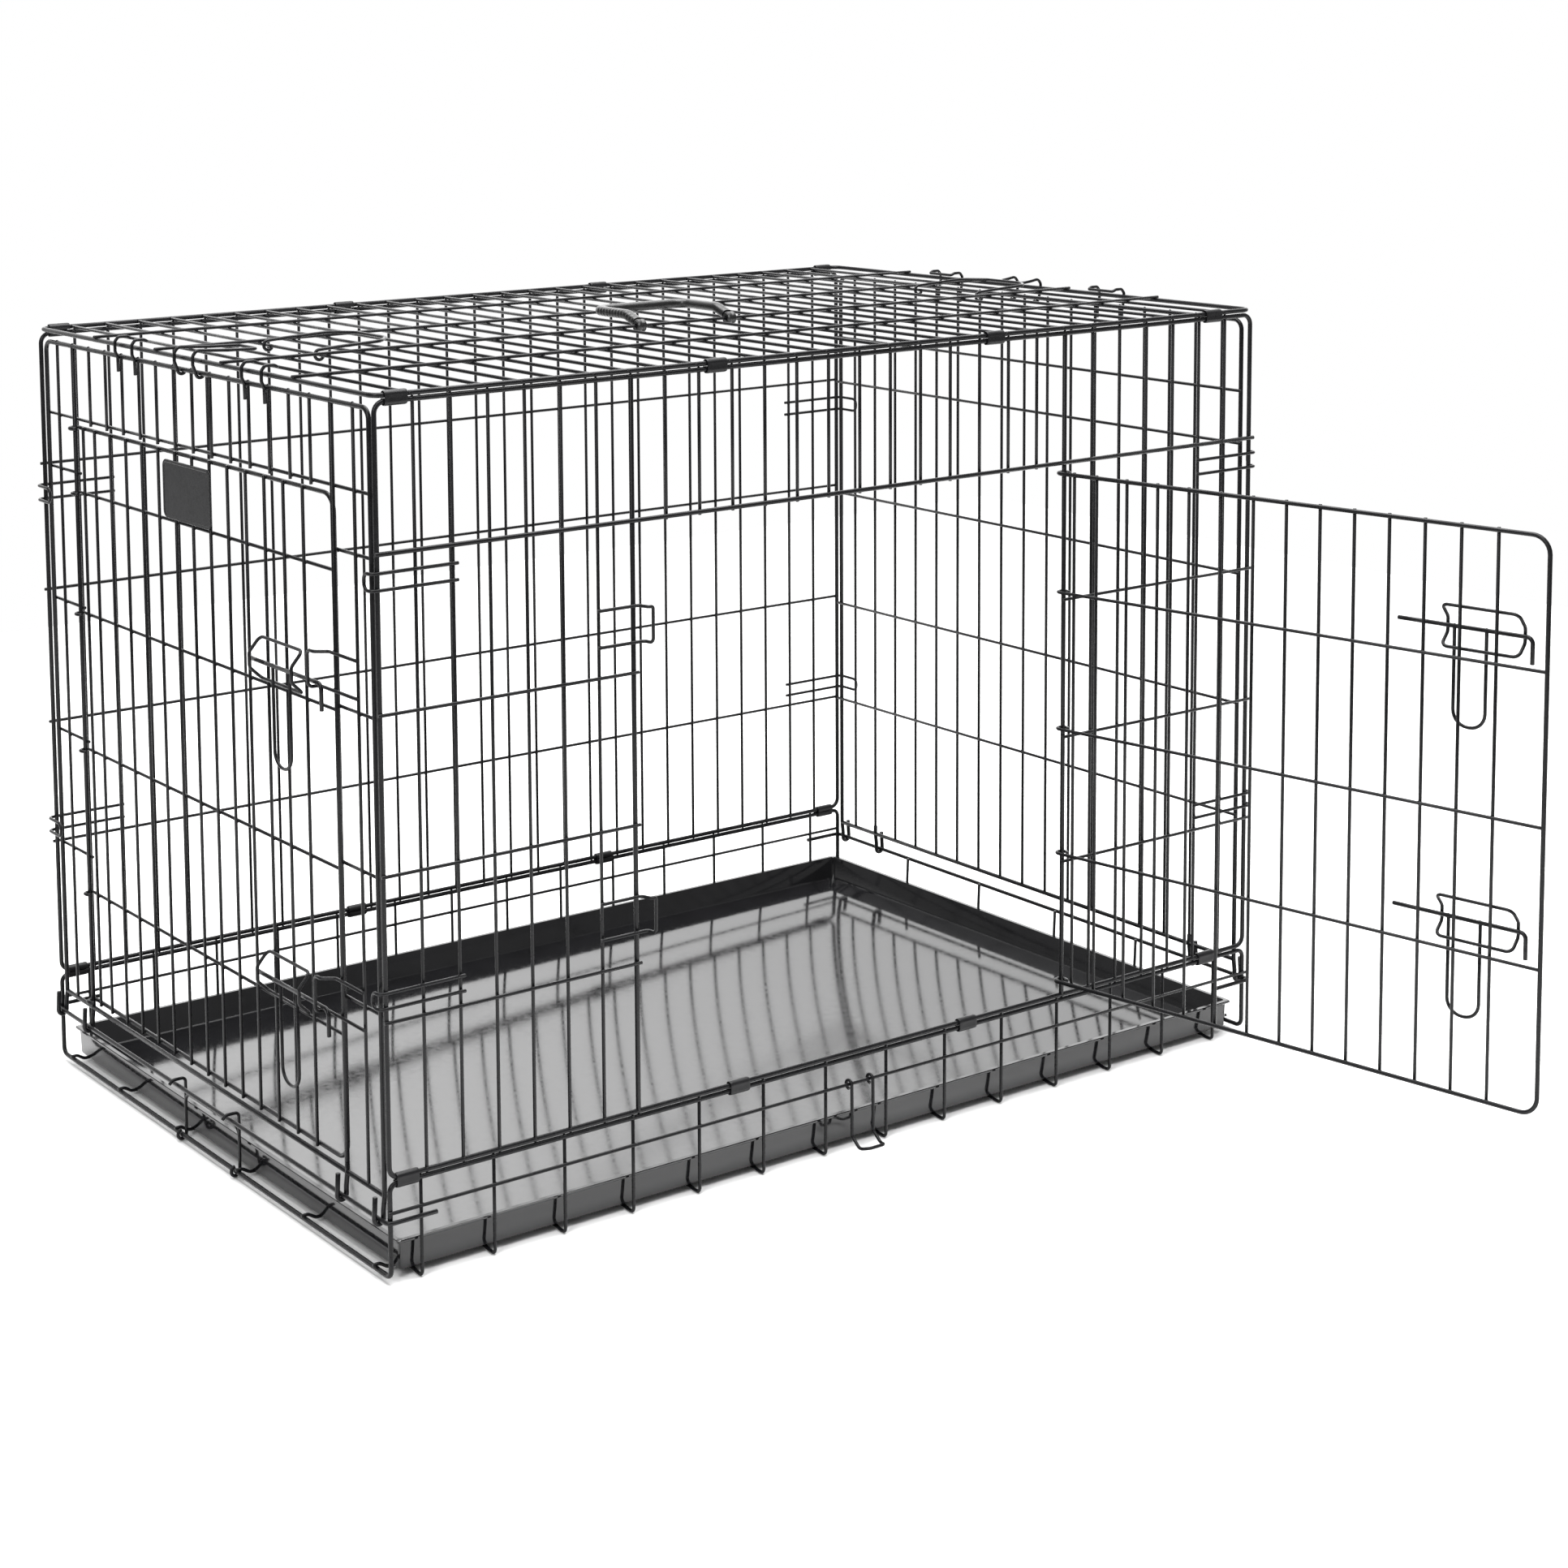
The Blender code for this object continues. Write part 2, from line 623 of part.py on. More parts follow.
def tray():
    """Shallow pan with a turned-out rim."""
    x0, x1 = TRAY_GAP, LENGTH - TRAY_GAP
    y0, y1 = TRAY_SIDE_GAP, WIDTH - TRAY_SIDE_GAP
    rim, wall = TRAY_RIM, TRAY_WALL
    rings = [
        (rim, TRAY_LOW), (rim - 0.001, TRAY_HIGH - wall), (0.0, TRAY_HIGH - wall),
        (0.0, TRAY_HIGH), (rim + wall - 0.001, TRAY_HIGH), (rim + wall, TRAY_LOW + wall),
    ]
    verts, faces = [], []
    for inset, z in rings:
        for x, y in loop_points((x0 + inset, y0 + inset), (x1 - inset, y1 - inset), 0.003):
            verts.append(Vector((x, y, z)))
    for r in range(len(rings) - 1):
        for k in range(8):
            m = (k + 1) % 8
            faces.append([r * 8 + k, r * 8 + m, (r + 1) * 8 + m, (r + 1) * 8 + k])
    faces.append(list(reversed(range(8))))
    faces.append([(len(rings) - 1) * 8 + k for k in range(8)])
    shape = Shape()
    shape.add(verts, faces)
    return part("tray", "black_tray", [shape], (LENGTH / 2, WIDTH / 2, TRAY_LOW))


def pan_stop():
    """Gate that keeps the tray in, hinged on the end floor wire."""
    yoke, tops = Shape(), Shape()
    y0, y1 = 0.2860, 0.3970
    ring = curl((0.0, END_WIRE_Z), 0.0049, 100, 260, 6)
    path = ring + [(0.0049, 0.030), (0.0049, 0.048)]
    both = [(a, y0, b) for a, b in path] + [(a, y1, b) for a, b in reversed(path)]
    sweep(yoke, both, THIN_R, (0, 1, 0))
    hook = [(0.0049, 0.0470), (0.0049, 0.0584), (0.0012, 0.0630), (-0.0085, 0.0630)]
    hook += [(-0.0125, 0.0590)]
    for y in (y0 + 0.0003, y1 - 0.0003):
        sweep(tops, [(a, y, b) for a, b in hook], THIN_R - 0.0001, (0, 1, 0))
    return part("pan_stop", "black_wire", [yoke, tops], (0.0, WIDTH / 2, END_WIRE_Z))


def carry_lock():
    """Hook hung from the front base wire, flared out at the floor."""
    shape = Shape()
    y, z = -WELD, BASE_MID
    x0, x1 = 0.505, 0.531
    ring = curl((y, z), 0.0047, -90, 270, 6)
    path = ring + [(y - 0.0047, 0.016), (y - 0.016, 0.0070), (y - 0.026, 0.0100)]
    both = [(x0, a, b) for a, b in path[:-1]] + [(x0 + 0.004, *path[-1])]
    both += [(x1 - 0.004, *path[-1])] + [(x1, a, b) for a, b in reversed(path[:-1])]
    sweep(shape, both, THIN_R, (1, 0, 0))
    return part("carry_lock", "black_wire", [shape], (0.518, y, z))


def smooth_round_pieces():
    grip = bpy.data.objects["roof_handle"].data
    grip.shade_smooth()
    grip.set_sharp_from_angle(angle=math.radians(50))


def build():
    clear_scene()
    base_floor()
    base_side("base_front_side", 0.0, 1)
    base_side("base_rear_side", WIDTH, -1)
    end_bar("base_left_bar", 0.0, 1)
    end_bar("base_right_bar", LENGTH, -1)
    front_panel()
    rear_panel()
    roof_panel()
    end_frame("left", left, True)
    end_frame("right", right, False)
    part("front_door", "black_wire", door_frame(SIDE_DOOR_Z, side_door_place), (SIDE_HINGE, 0, 0))
    part("end_door", "black_wire", door_frame(END_DOOR_Z, end_door_place), (END_IN, END_HINGE, 0))
    side_post, end_post = (SIDE_HINGE, 0, 0), (END_IN, END_HINGE, 0)
    latches("front", side_door_place, SIDE_DOOR_Z, SIDE_GUIDE, SIDE_TIP, SIDE_LEGS, side_post)
    latches("end", end_door_place, END_DOOR_Z, END_GUIDE, END_TIP, END_LEGS, end_post)
    label_plate()
    roof_latch("left_roof_latch", left, 0.0600)
    roof_latch("right_roof_latch", right, 0.0200)
    roof_bail("left_roof_bail", ROOF_FIRST + 2 * PITCH, 0.085, 0.0080)
    roof_bail("right_roof_bail", ROOF_FIRST + 24 * PITCH, 0.083, 0.0080)
    roof_handle()
    clips()
    tray()
    pan_stop()
    carry_lock()
    smooth_round_pieces()


build()
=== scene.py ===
import math

import bmesh
import bpy
from mathutils import Matrix, Quaternion, Vector


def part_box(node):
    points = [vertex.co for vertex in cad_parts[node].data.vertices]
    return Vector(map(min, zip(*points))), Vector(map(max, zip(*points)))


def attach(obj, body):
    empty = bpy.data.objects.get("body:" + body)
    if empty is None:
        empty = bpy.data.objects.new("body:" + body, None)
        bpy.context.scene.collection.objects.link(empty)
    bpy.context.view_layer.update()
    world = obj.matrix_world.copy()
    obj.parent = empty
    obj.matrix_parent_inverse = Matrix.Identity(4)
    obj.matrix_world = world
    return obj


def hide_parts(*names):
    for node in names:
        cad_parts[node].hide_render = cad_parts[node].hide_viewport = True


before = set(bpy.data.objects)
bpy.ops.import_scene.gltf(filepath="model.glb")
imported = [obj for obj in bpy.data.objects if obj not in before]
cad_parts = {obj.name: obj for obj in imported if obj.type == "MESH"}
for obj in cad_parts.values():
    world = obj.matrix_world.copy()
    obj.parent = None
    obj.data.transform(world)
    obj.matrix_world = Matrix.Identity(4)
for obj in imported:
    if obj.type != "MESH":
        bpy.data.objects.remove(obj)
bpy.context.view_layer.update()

# Looks of the folding wire dog crate. Lengths are in metres. Points are given from the crate's
# left front floor corner (x to the right, y to the rear) and moved into the frame at the end.

# overall size and pitches, as in the frame
LENGTH = 1.045
WIDTH = 0.670
PITCH = LENGTH / 28
END_PITCH = WIDTH / 18
# wire radii
FRAME_R = 0.0023
EDGE_R = 0.0021
THIN_R = 0.0016
BOLT_R = 0.0020
# two crossing wires' centres lie this far apart
CROSS = 0.0031
STUB = 0.0035
CURL_R = 0.0052
# bend radii: panel frames, base frame, small bends, feet, keepers, bolt rods and pulls
FRAME_BEND = 0.010
BASE_BEND = 0.0075
SMALL_BEND = 0.006
ROD_BEND = 0.0055
FOOT_BEND = 0.0045
KEEPER_BEND = 0.0045
PULL_BEND = 0.0145
# half sizes of a weld bead, and of the bead at a wire's end
WELD_WIDE = 0.00205
WELD_TALL = 0.00125
BUTT_ALONG = 0.0033
BUTT_ACROSS = 0.0022
BUTT_TALL = 0.0024
FLOOR_WELD = (0.002, 0.0012)
# how finely wires are drawn
SIDES = 12
BEND_STEP = math.radians(14)
CHAMFER = 0.0003
TIGHT = 0.0035
# side panels and roof
SIDE_BOTTOM = 0.0957
SIDE_TOP = 0.7648
OVER_DOOR = 0.637
SIDE_ROWS = (0.500, 0.361, 0.234)
REAR_OVER = 0.631
FRONT_LOOPS = ((0.621, 0.6065), (0.260, 0.2465))
REAR_LOOPS = ((0.609, 0.5945), (0.260, 0.2465))
FRONT_TURN = -0.0085
REAR_TURN = -0.028
LOOP_OUT = 0.0078
LOOP_WIRES = (1, 2, 26, 27)
ROOF_Z = 0.770
ROOF_ROWS = (0.134, 0.268, 0.402, 0.536)
ROOF_FIRST = 0.034
ROOF_WIRES = 27
# base
BASE_TOP = 0.0905
BASE_MID = 0.066
BASE_UPRIGHTS = [0.031 + 2 * PITCH * k for k in range(14)]
FOOT_Z = 0.0017
FLOOR_Z = 0.0030
LENGTHWISE_Z = 0.0060
END_WIRE_Z = 0.0070
STEP_Z = 0.0108
BASE_NODES = ["base_floor", "base_front_side", "base_rear_side", "base_left_bar", "base_right_bar"]
FLOOR_ROWS = (0.025, 0.1518, 0.2786, 0.4054, 0.5322, 0.645)
BAR_Z = 0.058
BAR_OUT = 0.0050
BAR_END = 0.044
# end panels
END_IN = 0.0011
END_Y = (0.0105, 0.6595)
END_BOTTOM = 0.0772
END_TOP = 0.7585
END_LINTEL = 0.685
END_ROWS = (0.630, 0.493, 0.355, 0.235)
HOOK_Y = (2 * END_PITCH, 16 * END_PITCH)
HOOK_R = 0.0046
ROOF_HOOKS = (5, 12)
# doors
SIDE_HINGE = 21 * PITCH
SIDE_LATCH = 7 * PITCH
SIDE_DOOR_OPEN = math.radians(100)
END_HINGE = 16 * END_PITCH
END_LATCH = 2 * END_PITCH
DOOR_WIDTH = 0.5135
DOOR_STUB = 0.0022
DOOR_CORNER = 0.016
DOOR_EDGE_WIRE = 0.014
DOOR_FIRST = 0.0405
DOOR_PITCH = 0.0353
DOOR_WIRES = 13
SIDE_DOOR_Z = (0.110, 0.242, 0.369, 0.507, 0.626)
END_DOOR_Z = (0.0835, 0.197, 0.346, 0.487, 0.610, 0.676)
# slide bolts
BOLT_N = 0.0094
GUIDE_N = 0.0024
GUIDE_HIGH = 0.020
GUIDE_LOW = 0.018
GUIDE_OVER = 0.0046
GUIDE_BOW = 0.007
BOLT_UP = 0.025
BOLT_TAIL = 0.130
TAIL_PIECE = 0.030
HANDLE_DROP = 0.090
TIP_DROP = 0.024
SIDE_GUIDE = (0.4085, 0.4825)
SIDE_TIP = 0.492
SIDE_LEGS = (0.4175, 0.4485)
SIDE_KEEPER = 0.0114
END_GUIDE = (0.388, 0.466)
END_TIP = 0.5105
END_LEGS = (0.4235, 0.4545)
END_KEEPER = 0.0245
KEEPER_N = 0.0036
KEEPER_OUT = 0.0146
KEEPER_UP = 0.0120
KEEPER_HALF = 0.0165
# label plate on the end door
PLATE_LOW = (0.1985, 0.6140)
PLATE_HIGH = (0.2955, 0.6700)
PLATE_CORNER = 0.007
# roof fittings
LATCH_Y = (0.317, 0.3545)
LATCH_CURL = 0.0043
LATCH_BEND = 0.0055
BAIL_Y = (0.285, 0.385)
BAIL_CURL = 0.0047
BAIL_BEND = 0.016
GRIP_X = (0.463, 0.575)
GRIP_OUT = 0.078
GRIP_UP = 0.0095
GRIP_HALF = (0.0058, 0.0048)
GRIP_BEND = 0.016
GRIP_STEP = 0.0012
RIB_DEPTH = 0.0009
RIB_PITCH = 0.0050
# tray
TRAY_GAP = 0.010
TRAY_SIDE_GAP = 0.005
TRAY_LOW = 0.0072
TRAY_HIGH = 0.0355
TRAY_CORNER = 0.0035
# tray gate and carry lock
GATE_Y = (0.2860, 0.3970)
GATE_N = 0.0049
GATE_CURL = 0.0046
GATE_SIDE = 0.0003
GATE_BEND = 0.010
GATE_HOOK_BEND = 0.004
LOCK_X = (0.505, 0.531)
LOCK_CURL = 0.0042
# sheet metal clips
CLIP_HALF = 0.011
CLIP_IN = 0.0029
CLIP_OUT = 0.0041
CLIP_PINCH = 0.0008
CLIP_INNER_PINCH = 0.75
CLIP_SEAM = 0.0004
CLIP_EDGE = 0.0003
CLIP_STEPS = 8
# camera and stage
CAMERA_AT = Vector((-1.71581, -2.13737, 1.08472))
CAMERA_RIGHT = Vector((0.82506, -0.56490, -0.01258))
CAMERA_UP = Vector((0.07212, 0.08320, 0.99392))
CAMERA_LENS = 66.23
CAMERA_SHIFT = (0.130, -0.2905)
FLOOR_HALF = 2.6
FLOOR_DROP = 0.0001


def flat_centre(node):
    low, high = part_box(node)
    return Vector(((low.x + high.x) / 2, (low.y + high.y) / 2, 0.0))


ORIGIN = Vector((LENGTH / 2, WIDTH / 2, 0.0)) - flat_centre("base_floor")


# ---------------------------------------------------------------- materials


def add(tree, kind, **values):
    node = tree.nodes.new(kind)
    for key, value in values.items():
        setattr(node, key, value)
    return node


def noise(tree, where, scale, detail=4.0, rough=0.55):
    node = add(tree, "ShaderNodeTexNoise")
    node.inputs["Scale"].default_value = scale
    node.inputs["Detail"].default_value = detail
    node.inputs["Roughness"].default_value = rough
    tree.links.new(where, node.inputs["Vector"])
    return node.outputs["Fac"]


def spread(tree, value, low, high, start=0.3, end=0.7):
    node = add(tree, "ShaderNodeMapRange")
    node.inputs["From Min"].default_value = start
    node.inputs["From Max"].default_value = end
    node.inputs["To Min"].default_value = low
    node.inputs["To Max"].default_value = high
    tree.links.new(value, node.inputs["Value"])
    return node.outputs["Result"]


def two_tone(tree, factor, dark, light):
    node = add(tree, "ShaderNodeMix", data_type="RGBA")
    node.inputs[6].default_value = (*dark, 1.0)
    node.inputs[7].default_value = (*light, 1.0)
    tree.links.new(factor, node.inputs[0])
    return node.outputs[2]


def bumped(tree, height, distance, strength=1.0, under=None):
    node = add(tree, "ShaderNodeBump")
    node.inputs["Distance"].default_value = distance
    node.inputs["Strength"].default_value = strength
    tree.links.new(height, node.inputs["Height"])
    if under is not None:
        tree.links.new(under, node.inputs["Normal"])
    return node.outputs["Normal"]


def coated(name, dark, light, rough, peel, grain, shine):
    """A dark finish: peel is (scale, depth) of its slow waves, grain of its fine texture."""
    mat = bpy.data.materials.new(name)
    mat.use_nodes = True
    tree = mat.node_tree
    shader = tree.nodes["Principled BSDF"]
    where = add(tree, "ShaderNodeTexCoord").outputs["Object"]
    slow = noise(tree, where, 22.0, 5.0)
    patches = noise(tree, where, 140.0, 3.0)
    tone = spread(tree, slow, 0.0, 1.0)
    tree.links.new(two_tone(tree, tone, dark, light), shader.inputs["Base Color"])
    tree.links.new(spread(tree, patches, *rough), shader.inputs["Roughness"])
    waves = bumped(tree, noise(tree, where, peel[0], 2.0), peel[1])
    fine = bumped(tree, noise(tree, where, grain[0], 2.0), grain[1], 1.0, waves)
    tree.links.new(fine, shader.inputs["Normal"])
    shader.inputs["Specular IOR Level"].default_value = shine
    return mat


def floor_material():
    mat = bpy.data.materials.new("pale_floor")
    mat.use_nodes = True
    tree = mat.node_tree
    shader = tree.nodes["Principled BSDF"]
    where = add(tree, "ShaderNodeTexCoord").outputs["Object"]
    tone = spread(tree, noise(tree, where, 3.0), 0.0, 1.0)
    light, dark = (0.95, 0.95, 0.95), (0.93, 0.93, 0.93)
    tree.links.new(two_tone(tree, tone, dark, light), shader.inputs["Base Color"])
    shader.inputs["Roughness"].default_value = 0.85
    shader.inputs["Specular IOR Level"].default_value = 0.1
    return mat


def all_looks():
    return {
        "wire": coated("gloss_black_coat", (0.004, 0.004, 0.0045), (0.008, 0.008, 0.009),
                       (0.22, 0.36), (420.0, 0.00005), (2600.0, 0.000010), 0.20),
        "sheet": coated("satin_black_sheet", (0.006, 0.006, 0.0065), (0.011, 0.011, 0.012),
                        (0.28, 0.44), (260.0, 0.00006), (1900.0, 0.00002), 0.22),
        "tray": coated("polished_black_pan", (0.006, 0.006, 0.0065), (0.009, 0.009, 0.010),
                       (0.07, 0.12), (5.0, 0.00003), (900.0, 0.000002), 0.60),
        "grip": coated("moulded_black_grip", (0.006, 0.006, 0.006), (0.011, 0.011, 0.011),
                       (0.24, 0.38), (300.0, 0.00004), (2300.0, 0.00003), 0.50),
    }


LOOKS = all_looks()


# ---------------------------------------------------------------- shapes


def rounded(points, bend, closed=False):
    """The points, with each corner turned into a bend of about that radius."""
    pts = [Vector(p) for p in points]
    count = len(pts)
    out = []
    for i, here in enumerate(pts):
        if not closed and i in (0, count - 1):
            out.append(here)
            continue
        back, on = pts[i - 1] - here, pts[(i + 1) % count] - here
        angle = math.pi - back.angle(on)
        if angle < BEND_STEP / 2:
            out.append(here)
            continue
        reach = min(bend * math.tan(angle / 2), 0.48 * back.length, 0.48 * on.length)
        radius = reach / math.tan(angle / 2)
        back.normalize()
        on.normalize()
        centre = here + (back + on).normalized() * (radius / math.cos(angle / 2))
        spoke = here + back * reach - centre
        axis = spoke.cross(here + on * reach - centre)
        steps = max(1, math.ceil(angle / BEND_STEP))
        for s in range(steps + 1):
            out.append(centre + Quaternion(axis, angle * s / steps) @ spoke)
    return out


def tangents(pts, closed):
    count = len(pts)
    legs = [(pts[(i + 1) % count] - pts[i]).normalized() for i in range(count)]
    if closed:
        return [(legs[i - 1] + legs[i]).normalized() for i in range(count)]
    inner = [(legs[i - 1] + legs[i]).normalized() for i in range(1, count - 1)]
    return [legs[0]] + inner + [legs[-2]]


def carried(dirs, closed):
    """A vector square to each direction, turned as little as possible from one to the next."""
    side = dirs[0].orthogonal().normalized()
    sides = [side]
    for i in range(1, len(dirs)):
        side = dirs[i - 1].rotation_difference(dirs[i]) @ side
        sides.append(side)
    if closed:
        last = dirs[-1].rotation_difference(dirs[0]) @ side
        twist = math.atan2(last.cross(sides[0]).dot(dirs[0]), last.dot(sides[0]))
        share = [Quaternion(d, twist * i / len(dirs)) for i, d in enumerate(dirs)]
        sides = [q @ s for q, s in zip(share, sides)]
    return sides


class Shape:
    """Vertices and faces of closed solids."""

    def __init__(self):
        self.verts = []
        self.faces = []

    def ring(self, points):
        start = len(self.verts)
        self.verts += [Vector(p) for p in points]
        return list(range(start, len(self.verts)))

    def bridge(self, one, two):
        count = len(one)
        for k in range(count):
            m = (k + 1) % count
            self.faces.append([one[k], one[m], two[m], two[k]])

    def loft(self, rings, closed=False):
        """Joins rings of points, with a flat cap at each end unless they close."""
        made = [self.ring(r) for r in rings]
        for one, two in zip(made, made[1:]):
            self.bridge(one, two)
        if closed:
            self.bridge(made[-1], made[0])
        else:
            self.faces.append(list(reversed(made[0])))
            self.faces.append(made[-1])

    def wire(self, points, radius, bend=TIGHT, closed=False):
        """A round wire with smooth bends and slightly broken cut ends."""
        pts = rounded(points, bend, closed)
        dirs = tangents(pts, closed)
        sides = carried(dirs, closed)
        radii = [radius] * len(pts)
        if not closed:
            pts = [pts[0], pts[0] + dirs[0] * CHAMFER] + pts[1:-1] + [
                pts[-1] - dirs[-1] * CHAMFER, pts[-1]]
            dirs = [dirs[0]] + dirs + [dirs[-1]]
            sides = [sides[0]] + sides + [sides[-1]]
            radii = [radius - CHAMFER, radius] + radii[1:-1] + [radius, radius - CHAMFER]
        rings = []
        for point, along, side, size in zip(pts, dirs, sides, radii):
            other = along.cross(side)
            angles = [2 * math.pi * k / SIDES for k in range(SIDES)]
            rings.append([point + (side * math.cos(a) + other * math.sin(a)) * size for a in angles])
        self.loft(rings, closed)

    def blob(self, centre, one, two, three, around=8, up=5):
        """A squashed ball, from its three half axes."""
        rings = []
        for r in range(1, up):
            lean = math.pi * r / up
            flat, tall = math.sin(lean), -math.cos(lean)
            angles = [2 * math.pi * k / around for k in range(around)]
            rings.append([
                centre + (one * math.cos(a) + two * math.sin(a)) * flat + three * tall for a in angles
            ])
        self.loft(rings)


def weld(shape, place, u, v, n=CROSS / 2, size=1.0):
    """The small flattened bead where two crossing wires are fused."""
    at = place(u, v, n)
    one = (place(1, 0, 0) - place(0, 0, 0)) * WELD_WIDE * size
    two = (place(0, 1, 0) - place(0, 0, 0)) * WELD_WIDE * size
    shape.blob(at, one, two, outward(place) * WELD_TALL)


def butt(shape, place, u, v):
    """The bead where a wire's end is fused to the frame wire."""
    one = (place(1, 0, 0) - place(0, 0, 0)) * BUTT_ACROSS
    two = (place(0, 1, 0) - place(0, 0, 0)) * BUTT_ALONG
    shape.blob(place(u, v, 0), one, two, outward(place) * BUTT_TALL)


def piece(name, shape, body, nodes, look, sharp=45):
    mesh = bpy.data.meshes.new(name)
    mesh.from_pydata([tuple(v - ORIGIN) for v in shape.verts], [], shape.faces)
    work = bmesh.new()
    work.from_mesh(mesh)
    bmesh.ops.recalc_face_normals(work, faces=work.faces)
    work.to_mesh(mesh)
    work.free()
    mesh.shade_smooth()
    mesh.set_sharp_from_angle(angle=math.radians(sharp))
    mesh.materials.append(LOOKS[look])
    item = bpy.data.objects.new(name, mesh)
    bpy.context.scene.collection.objects.link(item)
    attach(item, body)
    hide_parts(*nodes)
    return item


# ---------------------------------------------------------------- places


def front(u, v, n):
    return Vector((u, -n, v))


def rear(u, v, n):
    return Vector((u, WIDTH + n, v))


def left(u, v, n):
    return Vector((END_IN - n, u, v))


def right(u, v, n):
    return Vector((LENGTH - END_IN + n, u, v))


def top(u, v, n):
    return Vector((u, v, ROOF_Z + n))


def side_door_place(u, v, n):
    c, s = math.cos(SIDE_DOOR_OPEN), math.sin(SIDE_DOOR_OPEN)
    return Vector((SIDE_HINGE - u * c + n * s, -u * s - n * c, v))


def end_door_place(u, v, n):
    return left(END_HINGE - u, v, n)


def outward(place):
    return place(0, 0, 1) - place(0, 0, 0)


# ---------------------------------------------------------------- panels


def wire_on(shape, place, path, radius=THIN_R, bend=TIGHT, closed=False):
    shape.wire([place(u, v, n) for u, v, n in path], radius, bend, closed)


def frame_loop(shape, place, low, high):
    corners = [(low[0], low[1]), (high[0], low[1]), (high[0], high[1]), (low[0], high[1])]
    wire_on(shape, place, [(u, v, 0) for u, v in corners], FRAME_R, FRAME_BEND, True)


def upright(shape, place, u, low, high, radius=THIN_R):
    wire_on(shape, place, [(u, low, 0), (u, high, 0)], radius)


def level(shape, place, v, start, end, n=CROSS, radius=THIN_R):
    wire_on(shape, place, [(start, v, n), (end, v, n)], radius)


def corner_loop(shape, place, sign, edge, high, low, turn):
    """A wire from the third upright, round the corner post and back."""
    start = edge + sign * (2 * PITCH + STUB)
    out = edge - sign * LOOP_OUT
    path = [(start, high, CROSS), (out, high, CROSS), (out, high, turn)]
    path += [(out, low, turn), (out, low, CROSS), (start, low, CROSS)]
    wire_on(shape, place, path, THIN_R, SMALL_BEND)


def corner_loops(shape, place, heights, turn):
    for high, low in heights:
        corner_loop(shape, place, 1, 0.0, high, low, turn)
        corner_loop(shape, place, -1, LENGTH, high, low, turn)
        for k in LOOP_WIRES:
            for z in (high, low):
                weld(shape, place, k * PITCH, z)


def keeper(shape, place, reach, post, far, z):
    """A staple bent out over the bolt, welded to the two wires beside a door."""
    near, raised, tip = post + 0.25 * reach, post + 0.6 * reach, post + reach
    high, low = z + KEEPER_UP + KEEPER_HALF, z + KEEPER_UP - KEEPER_HALF
    path = [(far, high, KEEPER_N), (near, high, KEEPER_N), (raised, high, KEEPER_OUT)]
    path += [(tip, high, KEEPER_OUT), (tip, low, KEEPER_OUT)]
    path += [(tip - 0.0015, low, KEEPER_N), (far, low, KEEPER_N)]
    wire_on(shape, place, path, THIN_R, KEEPER_BEND)
    for v in (high, low):
        weld(shape, place, post, v, KEEPER_N / 2, 1.15)


def side_uprights(shape, place, over, has_door):
    for k in range(1, 28):
        in_door = has_door and 7 < k < 21
        low = over - STUB if in_door else SIDE_BOTTOM
        post = has_door and k in (7, 21)
        upright(shape, place, k * PITCH, low, SIDE_TOP, FRAME_R if post else THIN_R)
        butt(shape, place, k * PITCH, SIDE_TOP)
        weld(shape, place, k * PITCH, over)
        if in_door:
            continue
        butt(shape, place, k * PITCH, SIDE_BOTTOM)
        for z in SIDE_ROWS:
            weld(shape, place, k * PITCH, z)


def edge_welds(shape, place, rows):
    for v in rows:
        for u in (0.0, LENGTH):
            weld(shape, place, u, v, CROSS / 2, 1.2)


def front_panel():
    shape = Shape()
    frame_loop(shape, front, (0.0, SIDE_BOTTOM), (LENGTH, SIDE_TOP))
    side_uprights(shape, front, OVER_DOOR, True)
    level(shape, front, OVER_DOOR, -STUB, LENGTH + STUB, CROSS, EDGE_R)
    for z in SIDE_ROWS:
        level(shape, front, z, -STUB, SIDE_LATCH + STUB)
        level(shape, front, z, SIDE_HINGE - STUB, LENGTH + STUB)
    edge_welds(shape, front, (OVER_DOOR,) + SIDE_ROWS)
    corner_loops(shape, front, FRONT_LOOPS, FRONT_TURN)
    for z in (SIDE_DOOR_Z[3], SIDE_DOOR_Z[1]):
        keeper(shape, front, SIDE_KEEPER, SIDE_LATCH, SIDE_LATCH - PITCH - STUB, z + BOLT_UP)
        weld(shape, front, SIDE_LATCH - PITCH, z + BOLT_UP + KEEPER_UP + KEEPER_HALF)
        weld(shape, front, SIDE_LATCH - PITCH, z + BOLT_UP + KEEPER_UP - KEEPER_HALF)
    piece("front_panel_wires", shape, "crate", ["front_panel"], "wire")


def rear_panel():
    shape = Shape()
    frame_loop(shape, rear, (0.0, SIDE_BOTTOM), (LENGTH, SIDE_TOP))
    side_uprights(shape, rear, REAR_OVER, False)
    for z in (REAR_OVER,) + SIDE_ROWS:
        level(shape, rear, z, -STUB, LENGTH + STUB)
    edge_welds(shape, rear, (REAR_OVER,) + SIDE_ROWS)
    corner_loops(shape, rear, REAR_LOOPS, REAR_TURN)
    piece("rear_panel_wires", shape, "crate", ["rear_panel"], "wire")


